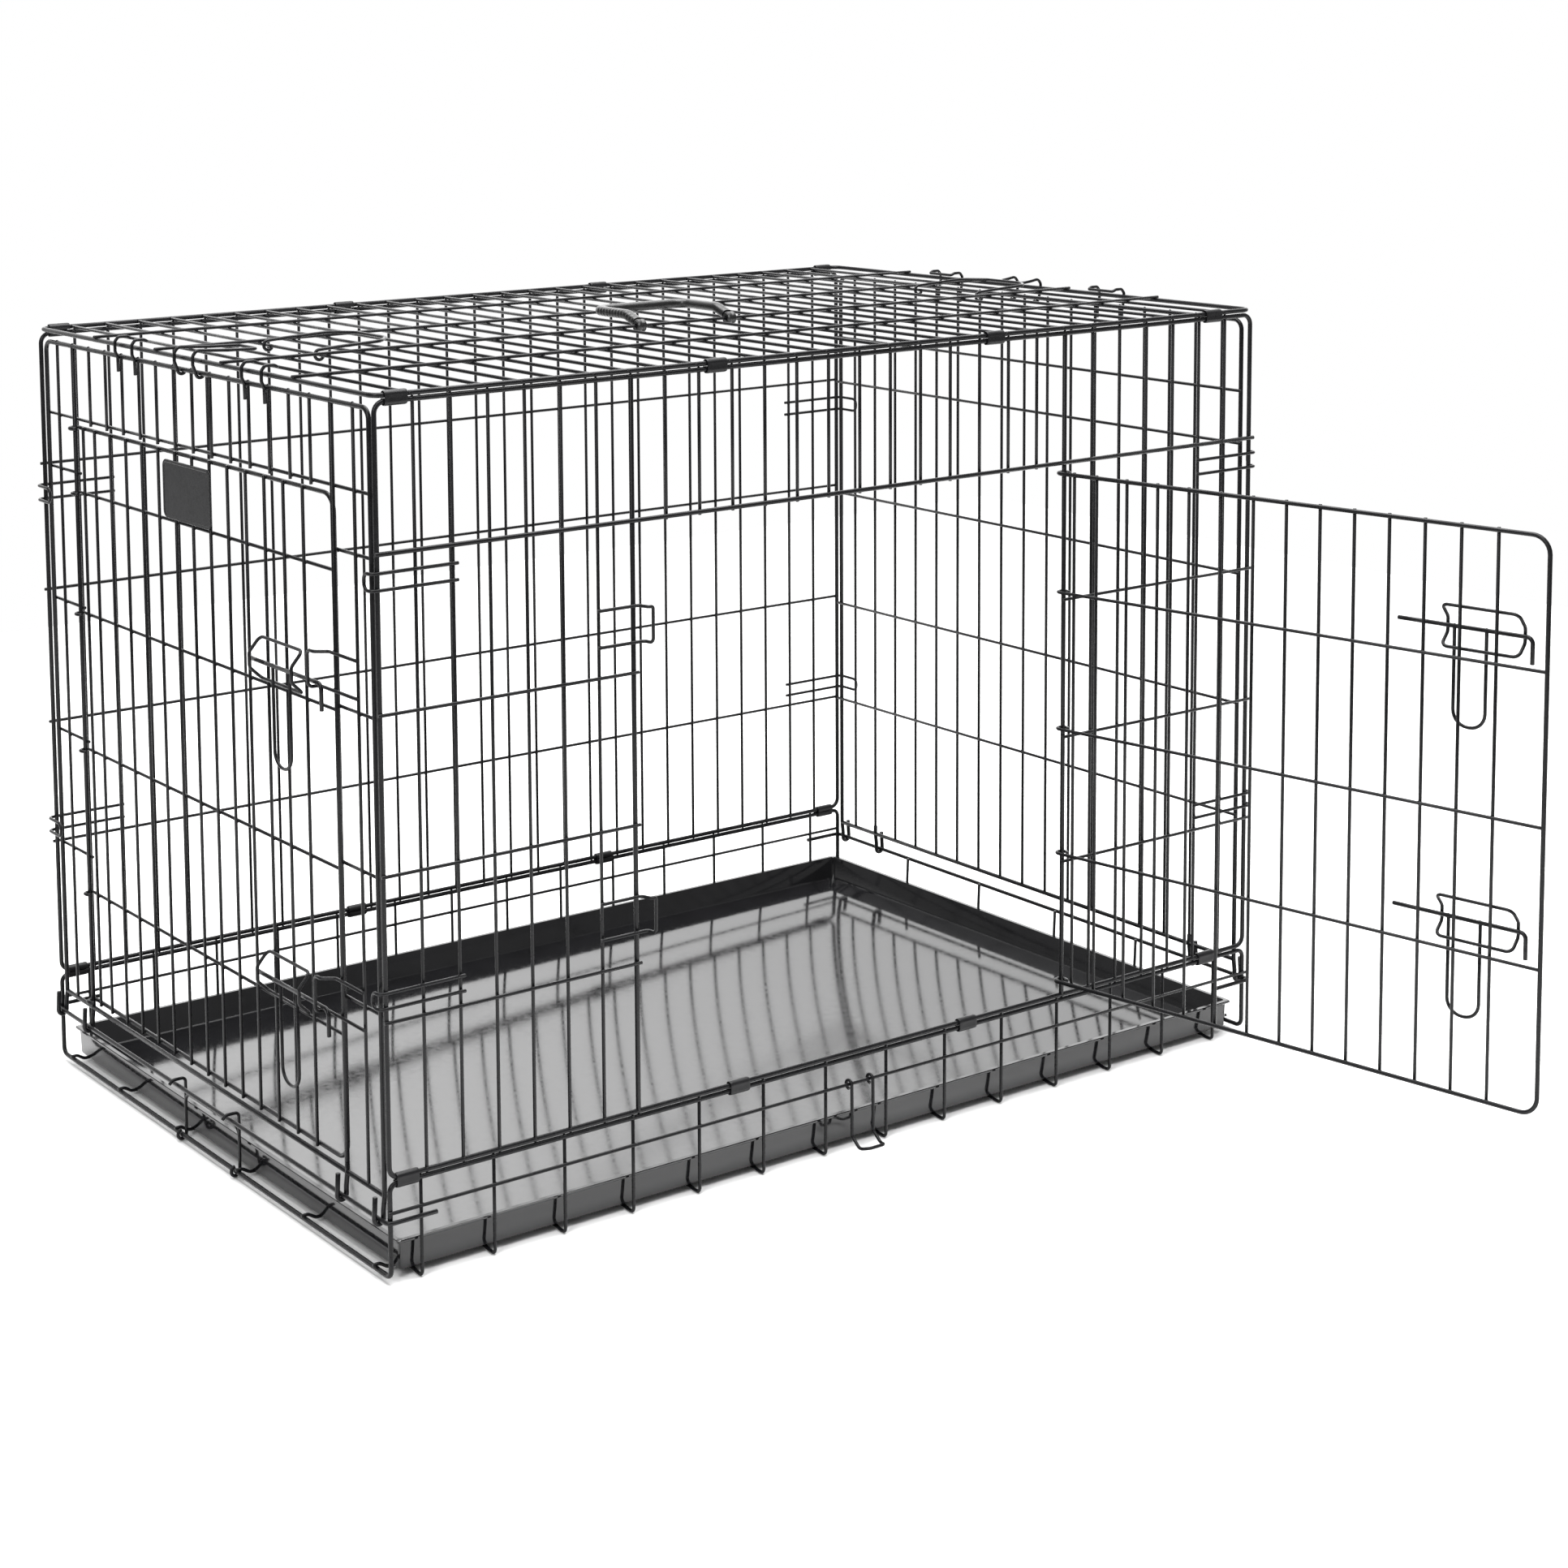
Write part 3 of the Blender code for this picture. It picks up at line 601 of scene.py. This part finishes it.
def roof_panel():
    shape = Shape()
    frame_loop(shape, top, (0.0, 0.0), (LENGTH, WIDTH))
    for k in range(ROOF_WIRES):
        x = ROOF_FIRST + k * PITCH
        upright(shape, top, x, 0.0, WIDTH)
        butt(shape, top, x, 0.0)
        butt(shape, top, x, WIDTH)
        for y in ROOF_ROWS:
            weld(shape, top, x, y)
    for y in ROOF_ROWS:
        level(shape, top, y, -STUB, LENGTH + STUB)
    edge_welds(shape, top, ROOF_ROWS)
    piece("roof_panel_wires", shape, "crate", ["roof_panel"], "wire")


def base_frame(shape):
    """One wire along both rims, down the four end posts and across the ends at the floor."""
    path = [(0, 0, BASE_TOP), (LENGTH, 0, BASE_TOP), (LENGTH, 0, END_WIRE_Z)]
    path += [(LENGTH, WIDTH, END_WIRE_Z), (LENGTH, WIDTH, BASE_TOP), (0, WIDTH, BASE_TOP)]
    path += [(0, WIDTH, END_WIRE_Z), (0, 0, END_WIRE_Z)]
    shape.wire(path, FRAME_R, BASE_BEND, True)


def floor_wires(shape):
    wide, tall = FLOOR_WELD
    for x in BASE_UPRIGHTS:
        path = [(x, 0, BASE_TOP), (x, 0, FOOT_Z), (x, 0.009, FOOT_Z), (x, 0.016, FLOOR_Z)]
        path += [(x, WIDTH - y, z) for x, y, z in reversed(path)]
        shape.wire(path, THIN_R, FOOT_BEND)
        for y, place in ((0.0, front), (WIDTH, rear)):
            weld(shape, place, x, BASE_MID)
            butt(shape, place, x, BASE_TOP)
        for y in FLOOR_ROWS:
            shape.blob(Vector((x, y, FLOOR_Z + CROSS / 2)), Vector((wide, 0, 0)),
                       Vector((0, wide, 0)), Vector((0, 0, tall)))


def end_bar(shape, x, sign):
    far = x + sign * BAR_END
    out = x - sign * BAR_OUT
    path = [(far, -BAR_OUT, BAR_Z), (out, -BAR_OUT, BAR_Z)]
    path += [(out, WIDTH + BAR_OUT, BAR_Z), (far, WIDTH + BAR_OUT, BAR_Z)]
    shape.wire(path, EDGE_R, SMALL_BEND)


def lengthwise_wires(shape):
    for k, y in enumerate(FLOOR_ROWS):
        path = [(-0.004, y, STEP_Z), (0.003, y, STEP_Z), (0.011, y, LENGTHWISE_Z)]
        if 0 < k < 5:
            path += [(LENGTH - 0.006, y, LENGTHWISE_Z), (LENGTH - 0.0035, y, BAR_Z + STUB)]
        else:
            path += [(LENGTH - 0.011, y, LENGTHWISE_Z), (LENGTH - 0.003, y, STEP_Z)]
            path += [(LENGTH + 0.004, y, STEP_Z)]
        shape.wire(path, THIN_R, SMALL_BEND)


def base_grid():
    shape = Shape()
    base_frame(shape)
    floor_wires(shape)
    for y in (-CROSS, WIDTH + CROSS):
        shape.wire([(-STUB, y, BASE_MID), (LENGTH + STUB, y, BASE_MID)], THIN_R)
    lengthwise_wires(shape)
    end_bar(shape, 0.0, 1)
    end_bar(shape, LENGTH, -1)
    piece("base_grid_wires", shape, "crate", BASE_NODES, "wire")


def curl(centre, radius, start, turn, steps=18):
    """Points (a, b) round a centre, from one angle through a signed turn, in degrees."""
    out = []
    for i in range(steps + 1):
        angle = math.radians(start + turn * i / steps)
        out.append((centre[0] + radius * math.cos(angle), centre[1] + radius * math.sin(angle)))
    return out


def hook_path(y):
    """From a hook's free end, under the base cross bar and up to the panel."""
    arc = curl((END_IN + BAR_OUT, BAR_Z), HOOK_R, 180, 180, 10)
    path = [(0.0, END_BOTTOM + 0.010), (0.0, END_BOTTOM), (arc[0][0], arc[0][1] + 0.007)] + arc
    path += [(arc[-1][0] - 0.0012, arc[-1][1] + 0.020)]
    return [(y, v, n) for n, v in reversed(path)]


def end_edge(shape, place):
    """The panel's edge wire, whose two ends are also its outer hooks, and the wire between them."""
    y0, y1 = END_Y
    path = hook_path(y0) + [(y0, END_TOP, 0.0), (y1, END_TOP, 0.0)] + list(reversed(hook_path(y1)))
    wire_on(shape, place, path, FRAME_R, FRAME_BEND)
    wire_on(shape, place, [(y0, END_BOTTOM, 0.0), (y1, END_BOTTOM, 0.0)], FRAME_R)
    for y in HOOK_Y:
        wire_on(shape, place, hook_path(y), FRAME_R)


def roof_hooks(shape, place):
    """Pairs of uprights carried up and bent inward over the roof's end wire."""
    half = [(0.0034, 0.7440), (0.0036, 0.7575), (0.0062, 0.7640), (0.0062, 0.7735)]
    half += [(0.0025, 0.7778), (-0.0060, 0.7778), (-0.0105, 0.7758)]
    for k in ROOF_HOOKS:
        near, far = k * END_PITCH, (k + 1) * END_PITCH
        path = [(near, v, n) for n, v in half] + [(far, v, n) for n, v in reversed(half)]
        wire_on(shape, place, path)


def end_rows(shape, place, has_door):
    spans = [(END_Y[0] - STUB, END_Y[1] + STUB)]
    if has_door:
        spans = [(END_Y[0] - STUB, END_LATCH + STUB), (END_HINGE - STUB, END_Y[1] + STUB)]
    for z in END_ROWS:
        for start, end in spans:
            level(shape, place, z, start, end, -CROSS)
            for k in range(1, 18):
                if start < k * END_PITCH < end:
                    weld(shape, place, k * END_PITCH, z, -CROSS / 2)


def end_panel(side, place, has_door):
    shape = Shape()
    nodes = [f"{side}_end_panel"] + [f"{side}_end_hook_{k}" for k in range(1, 5)]
    end_edge(shape, place)
    for k in range(1, 18):
        in_door = has_door and 2 < k < 16
        low = END_LINTEL - STUB if in_door else END_BOTTOM
        post = has_door and k in (2, 16)
        upright(shape, place, k * END_PITCH, low, END_TOP, FRAME_R if post else THIN_R)
        butt(shape, place, k * END_PITCH, END_TOP)
        weld(shape, place, k * END_PITCH, END_LINTEL, -CROSS / 2)
    level(shape, place, END_LINTEL, END_Y[0] - STUB, END_Y[1] + STUB, -CROSS)
    end_rows(shape, place, has_door)
    roof_hooks(shape, place)
    if has_door:
        nodes += ["end_upper_keeper", "end_lower_keeper"]
        for z in (END_DOOR_Z[3], END_DOOR_Z[1]):
            keeper(shape, place, END_KEEPER, END_LATCH, END_PITCH - STUB, z + BOLT_UP)
    piece(f"{side}_end_panel_wires", shape, f"{side}_end", nodes, "wire")


# ---------------------------------------------------------------- doors and bolts


def door_curl(z):
    return [(u, z, n) for u, n in curl((0.0, 0.0), CURL_R, 20, 250)]


def door(name, place, rows):
    """Edge wire and rows, with their ends curled round the hinge post, and uprights."""
    shape = Shape()
    low, high = rows[0], rows[-1]
    path = door_curl(high) + [(DOOR_WIDTH, high, -CURL_R), (DOOR_WIDTH, low, -CURL_R)]
    path += list(reversed(door_curl(low)))
    wire_on(shape, place, path, EDGE_R, DOOR_CORNER)
    for z in rows[1:-1]:
        wire_on(shape, place, door_curl(z) + [(DOOR_WIDTH, z, -CURL_R)])
    wires = [DOOR_EDGE_WIRE] + [DOOR_FIRST + k * DOOR_PITCH for k in range(DOOR_WIRES)]
    for u in wires:
        path = [(u, low - DOOR_STUB, CROSS - CURL_R), (u, high + DOOR_STUB, CROSS - CURL_R)]
        wire_on(shape, place, path)
        for z in rows:
            weld(shape, place, u, z, CROSS / 2 - CURL_R)
    piece(f"{name}_wires", shape, name, [name], "wire")


def guide(name, place, span, z, body):
    """A closed wire loop whose sides bow out over the bolt."""
    shape = Shape()
    u0, u1 = span
    over = BOLT_N + GUIDE_OVER
    low, high = z - GUIDE_LOW, z + GUIDE_HIGH
    path = [(u0, low, GUIDE_N), (u1, low, GUIDE_N), (u1, z - GUIDE_BOW, over)]
    path += [(u1, z + GUIDE_BOW, over), (u1, high, GUIDE_N), (u0, high, GUIDE_N)]
    path += [(u0, z + GUIDE_BOW, over), (u0, z - GUIDE_BOW, over)]
    wire_on(shape, place, path, THIN_R, SMALL_BEND, True)
    piece(f"{name}_wire", shape, body, [name], "wire")


def bolt(name, place, tip, legs, z, body):
    """The turning length of the bolt, with its bent tip and hanging pull."""
    shape = Shape()
    tail = tip - BOLT_TAIL + TAIL_PIECE
    path = [(tail, z, BOLT_N), (tip, z, BOLT_N), (tip, z - TIP_DROP, BOLT_N)]
    wire_on(shape, place, path, BOLT_R, ROD_BEND)
    low = z - HANDLE_DROP
    u0, u1 = legs
    path = [(u0, z, BOLT_N), (u0, low, BOLT_N), (u1, low, BOLT_N), (u1, z, BOLT_N)]
    wire_on(shape, place, path, THIN_R, PULL_BEND)
    for u in legs:
        weld(shape, place, u, z, BOLT_N, 1.25)
    piece(f"{name}_rod", shape, body, [name], "wire")


def bolt_tail(name, place, tip, z, body):
    shape = Shape()
    start = tip - BOLT_TAIL
    wire_on(shape, place, [(start, z, BOLT_N), (start + TAIL_PIECE, z, BOLT_N)], BOLT_R)
    piece(f"{name}_rod", shape, body, [name], "wire")


def latches(prefix, place, rows, span, tip, legs):
    for label, row in (("upper", rows[3]), ("lower", rows[1])):
        name = f"{prefix}_{label}"
        z = row + BOLT_UP
        guide(f"{name}_guide", place, span, z, f"{prefix}_door")
        bolt(f"{name}_bolt", place, tip, legs, z, f"{name}_bolt")
        bolt_tail(f"{name}_bolt_tail", place, tip, z, f"{name}_slide")


def plate_ring(low, high, inset, depth):
    (u0, v0), (u1, v1) = low, high
    corners = [(u0, v0), (u1, v0), (u1, v1), (u0, v1)]
    shifts = [(1, 1), (-1, 1), (-1, -1), (1, -1)]
    path = [(u + a * inset, v + b * inset, depth) for (u, v), (a, b) in zip(corners, shifts)]
    return [end_door_place(*p) for p in rounded(path, PLATE_CORNER - inset, True)]


def label_plate():
    """A blank plate with rounded corners, a broken edge and a faint raised border."""
    shape = Shape()
    steps = [(0.0006, 0.0005), (0.0, 0.0009), (0.0, 0.0016), (0.0005, 0.0021), (0.0024, 0.0021)]
    steps += [(0.0029, 0.0018)]
    shape.loft([plate_ring(PLATE_LOW, PLATE_HIGH, inset, depth) for inset, depth in steps])
    piece("label_plate_sheet", shape, "end_door", ["label_plate"], "sheet", 30)


# ---------------------------------------------------------------- roof fittings


def roof_latch(name, place, reach):
    """Catch that turns on the end panel's top wire, its tongue lying on the roof."""
    shape = Shape()
    y0, y1 = LATCH_Y
    ring = [(-n, v) for n, v in curl((0.0, END_TOP), LATCH_CURL, -40, -140)]
    path = ring + [(0.0072, 0.7660), (0.0072, 0.7745), (0.0030, 0.7795)]
    path += [(-reach * 0.5, 0.7775), (-reach, 0.7765)]
    both = [(y0, v, n) for n, v in path] + [(y1, v, n) for n, v in reversed(path)]
    wire_on(shape, place, both, THIN_R, LATCH_BEND)
    piece(f"{name}_wire", shape, name, [name], "wire")


def roof_bail(name, x, reach, rise):
    """A bent bail with both ends curled round a roof cross wire."""
    shape = Shape()
    y0, y1 = BAIL_Y
    ring = list(reversed(curl((x, ROOF_Z), BAIL_CURL, 90, 270)))
    path = ring + [(x + 0.020, ROOF_Z + 0.0060), (x + reach - 0.018, ROOF_Z + rise)]
    both = [(a, y0, b) for a, b in path] + [(x + reach, y0 + 0.022, ROOF_Z + rise)]
    both += [(x + reach, y1 - 0.022, ROOF_Z + rise)] + [(a, y1, b) for a, b in reversed(path)]
    shape.wire(both, THIN_R, BAIL_BEND)
    piece(f"{name}_wire", shape, name, [name], "wire")


def grip_rings(pts, half_wide, half_tall):
    """Rounded sections along the grip, with finger ribs on the side towards the pivots."""
    dirs = tangents(pts, False)
    rings = []
    run = 0.0
    for i, (point, along) in enumerate(zip(pts, dirs)):
        run += (pts[i] - pts[i - 1]).length if i else 0.0
        up = Vector((0, 0, 1))
        up = (up - along * up.dot(along)).normalized()
        inward = up.cross(along)
        rib = RIB_DEPTH * max(0.0, math.cos(run / RIB_PITCH * 2 * math.pi))
        ring = []
        for k in range(20):
            a = 2 * math.pi * k / 20
            c, s = math.cos(a), math.sin(a)
            wide = half_wide * math.copysign(abs(c) ** 0.75, c)
            tall = half_tall * math.copysign(abs(s) ** 0.75, s)
            if c > 0.3:
                wide -= rib
            ring.append(point + inward * wide + up * tall)
        rings.append(ring)
    return rings


def resampled(pts, step):
    out = [pts[0]]
    for one, two in zip(pts, pts[1:]):
        count = max(1, round((two - one).length / step))
        out += [one.lerp(two, (i + 1) / count) for i in range(count)]
    return out


def pivot_barrel(shape, x, y, z):
    profile = [(-0.0046, 0.0024), (-0.0052, 0.0030), (-0.0052, 0.0052), (-0.0040, 0.0064)]
    profile += [(-0.0012, 0.0066), (0.0, 0.0060), (0.0012, 0.0066)]
    profile += [(0.0040, 0.0064), (0.0052, 0.0052), (0.0052, 0.0030), (0.0046, 0.0024)]
    rings = []
    for k in range(24):
        a = 2 * math.pi * k / 24
        rings.append([Vector((x + b, y + r * math.cos(a), z + r * math.sin(a))) for b, r in profile])
    shape.loft(rings, True)


def roof_handle():
    """Moulded folding grip with a barrel at each end round a lengthwise roof wire."""
    shape = Shape()
    y, z = ROOF_ROWS[1], ROOF_Z + CROSS
    x0, x1 = GRIP_X
    path = [(x0, y + 0.0045, z + 0.0035), (x0, y + 0.022, z + GRIP_UP)]
    path += [(x0, y + GRIP_OUT, z + GRIP_UP), (x1, y + GRIP_OUT, z + GRIP_UP)]
    path += [(x1, y + 0.022, z + GRIP_UP), (x1, y + 0.0045, z + 0.0035)]
    pts = resampled(rounded(path, GRIP_BEND), GRIP_STEP)
    shape.loft(grip_rings(pts, *GRIP_HALF))
    for x in (x0, x1):
        pivot_barrel(shape, x, y, z)
    piece("roof_handle_grip", shape, "roof_handle", ["roof_handle"], "grip", 35)


# ---------------------------------------------------------------- clips, tray and base fittings


def clip_section(low, high, radius, pinch, seam):
    """A stadium round two wires, waisted between them, open by seam on the inner side."""
    mid = (low + high) / 2
    waist = radius - pinch
    out = curl((0.0, high), radius, 0, 180, 12) + [(-waist, mid)]
    out += curl((0.0, low), radius, 180, 180, 12)
    return out + [(waist, mid - seam)], [(waist, mid + seam)]


def clip(name, x, rear_side, low, high):
    """A folded sheet strip that holds two frame wires, crimped between them."""
    shape = Shape()
    sign, y = (-1, WIDTH) if rear_side else (1, 0.0)
    rings = []
    for i in range(-CLIP_STEPS, CLIP_STEPS + 1):
        at = CLIP_HALF * i / CLIP_STEPS
        fade = 1 - abs(i / CLIP_STEPS) ** 4
        edge = CLIP_EDGE if abs(i) == CLIP_STEPS else 0.0
        pinch = CLIP_PINCH * CLIP_INNER_PINCH * fade
        outer, lip = clip_section(low, high, CLIP_OUT - edge, CLIP_PINCH * fade, CLIP_SEAM)
        inner, inner_lip = clip_section(low, high, CLIP_IN + edge, pinch, CLIP_SEAM)
        loop = lip + outer + list(reversed(inner)) + inner_lip
        rings.append([Vector((x + at, y + sign * a, b)) for a, b in loop])
    shape.loft(rings)
    piece(f"{name}_sheet", shape, "crate", [name], "sheet", 40)


def clips():
    rows = {
        "top_front": (0, SIDE_TOP, ROOF_Z, (0.020, 9.5 * PITCH, 18.5 * PITCH, 26.5 * PITCH)),
        "top_rear": (1, SIDE_TOP, ROOF_Z, (0.020, 9.5 * PITCH, 18.5 * PITCH, 1.023)),
        "bottom_front": (0, BASE_TOP, SIDE_BOTTOM, (0.0170, 0.375, 0.656, 0.9875)),
        "bottom_rear": (1, BASE_TOP, SIDE_BOTTOM, (0.0170, 9.5 * PITCH, 0.689, 1.023)),
    }
    for label, (rear_side, low, high, places) in rows.items():
        for k, x in enumerate(places):
            clip(f"clip_{label}_{k + 1}", x, rear_side, low, high)


def tray_ring(inset, z, corner):
    x0, x1 = TRAY_GAP + inset, LENGTH - TRAY_GAP - inset
    y0, y1 = TRAY_SIDE_GAP + inset, WIDTH - TRAY_SIDE_GAP - inset
    path = [(x0, y0, z), (x1, y0, z), (x1, y1, z), (x0, y1, z)]
    return rounded(path, corner, True)


def tray():
    """Shallow pan with drawn walls and a turned-out rim."""
    shape = Shape()
    steps = [(0.0062, TRAY_LOW), (0.0047, TRAY_LOW + 0.0004), (0.0042, TRAY_LOW + 0.0018)]
    steps += [(0.0034, TRAY_HIGH - 0.0026), (0.0006, TRAY_HIGH - 0.0026)]
    steps += [(0.0, TRAY_HIGH - 0.0020), (0.0, TRAY_HIGH - 0.0006), (0.0006, TRAY_HIGH)]
    steps += [(0.0046, TRAY_HIGH), (0.0052, TRAY_HIGH - 0.0008)]
    steps += [(0.0060, TRAY_LOW + 0.0040), (0.0070, TRAY_LOW + 0.0022)]
    steps += [(0.0100, TRAY_LOW + 0.0016)]
    shape.loft([tray_ring(inset, z, TRAY_CORNER) for inset, z in steps])
    piece("tray_pan", shape, "tray", ["tray"], "tray", 40)


def pan_stop():
    """Gate that keeps the tray in, hinged on the end floor wire."""
    shape = Shape()
    y0, y1 = GATE_Y
    ring = curl((0.0, END_WIRE_Z), GATE_CURL, 100, 260)
    path = ring + [(GATE_N, 0.048)]
    both = [(a, y0, b) for a, b in path] + [(a, y1, b) for a, b in reversed(path)]
    shape.wire(both, THIN_R, GATE_BEND)
    hook = [(GATE_N, 0.0400), (GATE_N, 0.0630), (-0.0085, 0.0630), (-0.0125, 0.0590)]
    for y in (y0 + GATE_SIDE, y1 - GATE_SIDE):
        shape.wire([(a, y, b) for a, b in hook], THIN_R, GATE_HOOK_BEND)
    piece("pan_stop_wire", shape, "pan_stop", ["pan_stop"], "wire")


def carry_lock():
    """Hook hung from the front base wire, flared out at the floor."""
    shape = Shape()
    y, z = -CROSS, BASE_MID
    x0, x1 = LOCK_X
    ring = curl((y, z), LOCK_CURL, -90, 270)
    path = ring + [(y - 0.0047, 0.016), (y - 0.016, 0.0070), (y - 0.026, 0.0100)]
    both = [(x0, a, b) for a, b in path[:-1]] + [(x0 + 0.004, *path[-1])]
    both += [(x1 - 0.004, *path[-1])] + [(x1, a, b) for a, b in reversed(path[:-1])]
    shape.wire(both, THIN_R, SMALL_BEND)
    piece("carry_lock_wire", shape, "carry_lock", ["carry_lock"], "wire")


# ---------------------------------------------------------------- stage


def stage():
    work = bmesh.new()
    corners = [(-1, -1), (1, -1), (1, 1), (-1, 1)]
    spots = [(x * FLOOR_HALF, y * FLOOR_HALF, -FLOOR_DROP) for x, y in corners]
    work.faces.new([work.verts.new(spot) for spot in spots])
    mesh = bpy.data.meshes.new("studio_floor")
    work.to_mesh(mesh)
    work.free()
    mesh.materials.append(floor_material())
    floor = bpy.data.objects.new("studio_floor", mesh)
    bpy.context.scene.collection.objects.link(floor)


def area_light(name, at, target, size, power):
    lamp = bpy.data.lights.new(name, "AREA")
    lamp.shape = "RECTANGLE"
    lamp.size, lamp.size_y = size
    lamp.energy = power
    item = bpy.data.objects.new(name, lamp)
    item.location = at
    item.rotation_mode = "QUATERNION"
    item.rotation_quaternion = (Vector(target) - Vector(at)).to_track_quat("-Z", "Y")
    bpy.context.scene.collection.objects.link(item)


def studio_world():
    """White to look at; it lights the crate from behind and above more than from the front."""
    world = bpy.data.worlds.new("studio")
    world.use_nodes = True
    tree = world.node_tree
    background = tree.nodes["Background"]
    background.inputs["Color"].default_value = (1.0, 1.0, 1.0, 1.0)
    toward = add(tree, "ShaderNodeVectorMath", operation="DOT_PRODUCT")
    toward.inputs[1].default_value = (0.52, 0.76, 0.39)
    tree.links.new(add(tree, "ShaderNodeTexCoord").outputs["Generated"], toward.inputs[0])
    lit = spread(tree, toward.outputs["Value"], 0.30, 2.4, 0.35, 0.95)
    seen = add(tree, "ShaderNodeMix", data_type="FLOAT")
    tree.links.new(add(tree, "ShaderNodeLightPath").outputs["Is Camera Ray"], seen.inputs[0])
    tree.links.new(lit, seen.inputs[2])
    seen.inputs[3].default_value = 1.0
    tree.links.new(seen.outputs[0], background.inputs["Strength"])
    bpy.context.scene.world = world


def lights():
    area_light("top_light", (0, 0, 3.2), (0, 0, 0), (3.0, 3.0), 230)
    area_light("left_light", (-2.6, -1.4, 2.2), (0, 0, 0.3), (0.9, 1.6), 40)
    studio_world()


def camera():
    data = bpy.data.cameras.new("camera")
    data.lens = CAMERA_LENS
    data.sensor_width = 36.0
    data.shift_x, data.shift_y = CAMERA_SHIFT
    data.clip_start, data.clip_end = 0.05, 60.0
    item = bpy.data.objects.new("camera", data)
    back = CAMERA_RIGHT.cross(CAMERA_UP)
    turn = Matrix((CAMERA_RIGHT, CAMERA_UP, back)).transposed().to_4x4()
    item.matrix_world = Matrix.Translation(CAMERA_AT) @ turn
    bpy.context.scene.collection.objects.link(item)
    bpy.context.scene.camera = item


def build():
    camera()
    stage()
    lights()
    bpy.context.scene.view_settings.view_transform = "Standard"
    base_grid()
    front_panel()
    rear_panel()
    roof_panel()
    end_panel("left", left, True)
    end_panel("right", right, False)
    door("front_door", side_door_place, SIDE_DOOR_Z)
    door("end_door", end_door_place, END_DOOR_Z)
    latches("front", side_door_place, SIDE_DOOR_Z, SIDE_GUIDE, SIDE_TIP, SIDE_LEGS)
    latches("end", end_door_place, END_DOOR_Z, END_GUIDE, END_TIP, END_LEGS)
    label_plate()
    roof_latch("left_roof_latch", left, 0.0600)
    roof_latch("right_roof_latch", right, 0.0200)
    roof_bail("left_roof_bail", ROOF_FIRST + 2 * PITCH, 0.085, 0.0080)
    roof_bail("right_roof_bail", ROOF_FIRST + 24 * PITCH, 0.083, 0.0080)
    roof_handle()
    clips()
    tray()
    pan_stop()
    carry_lock()


build()
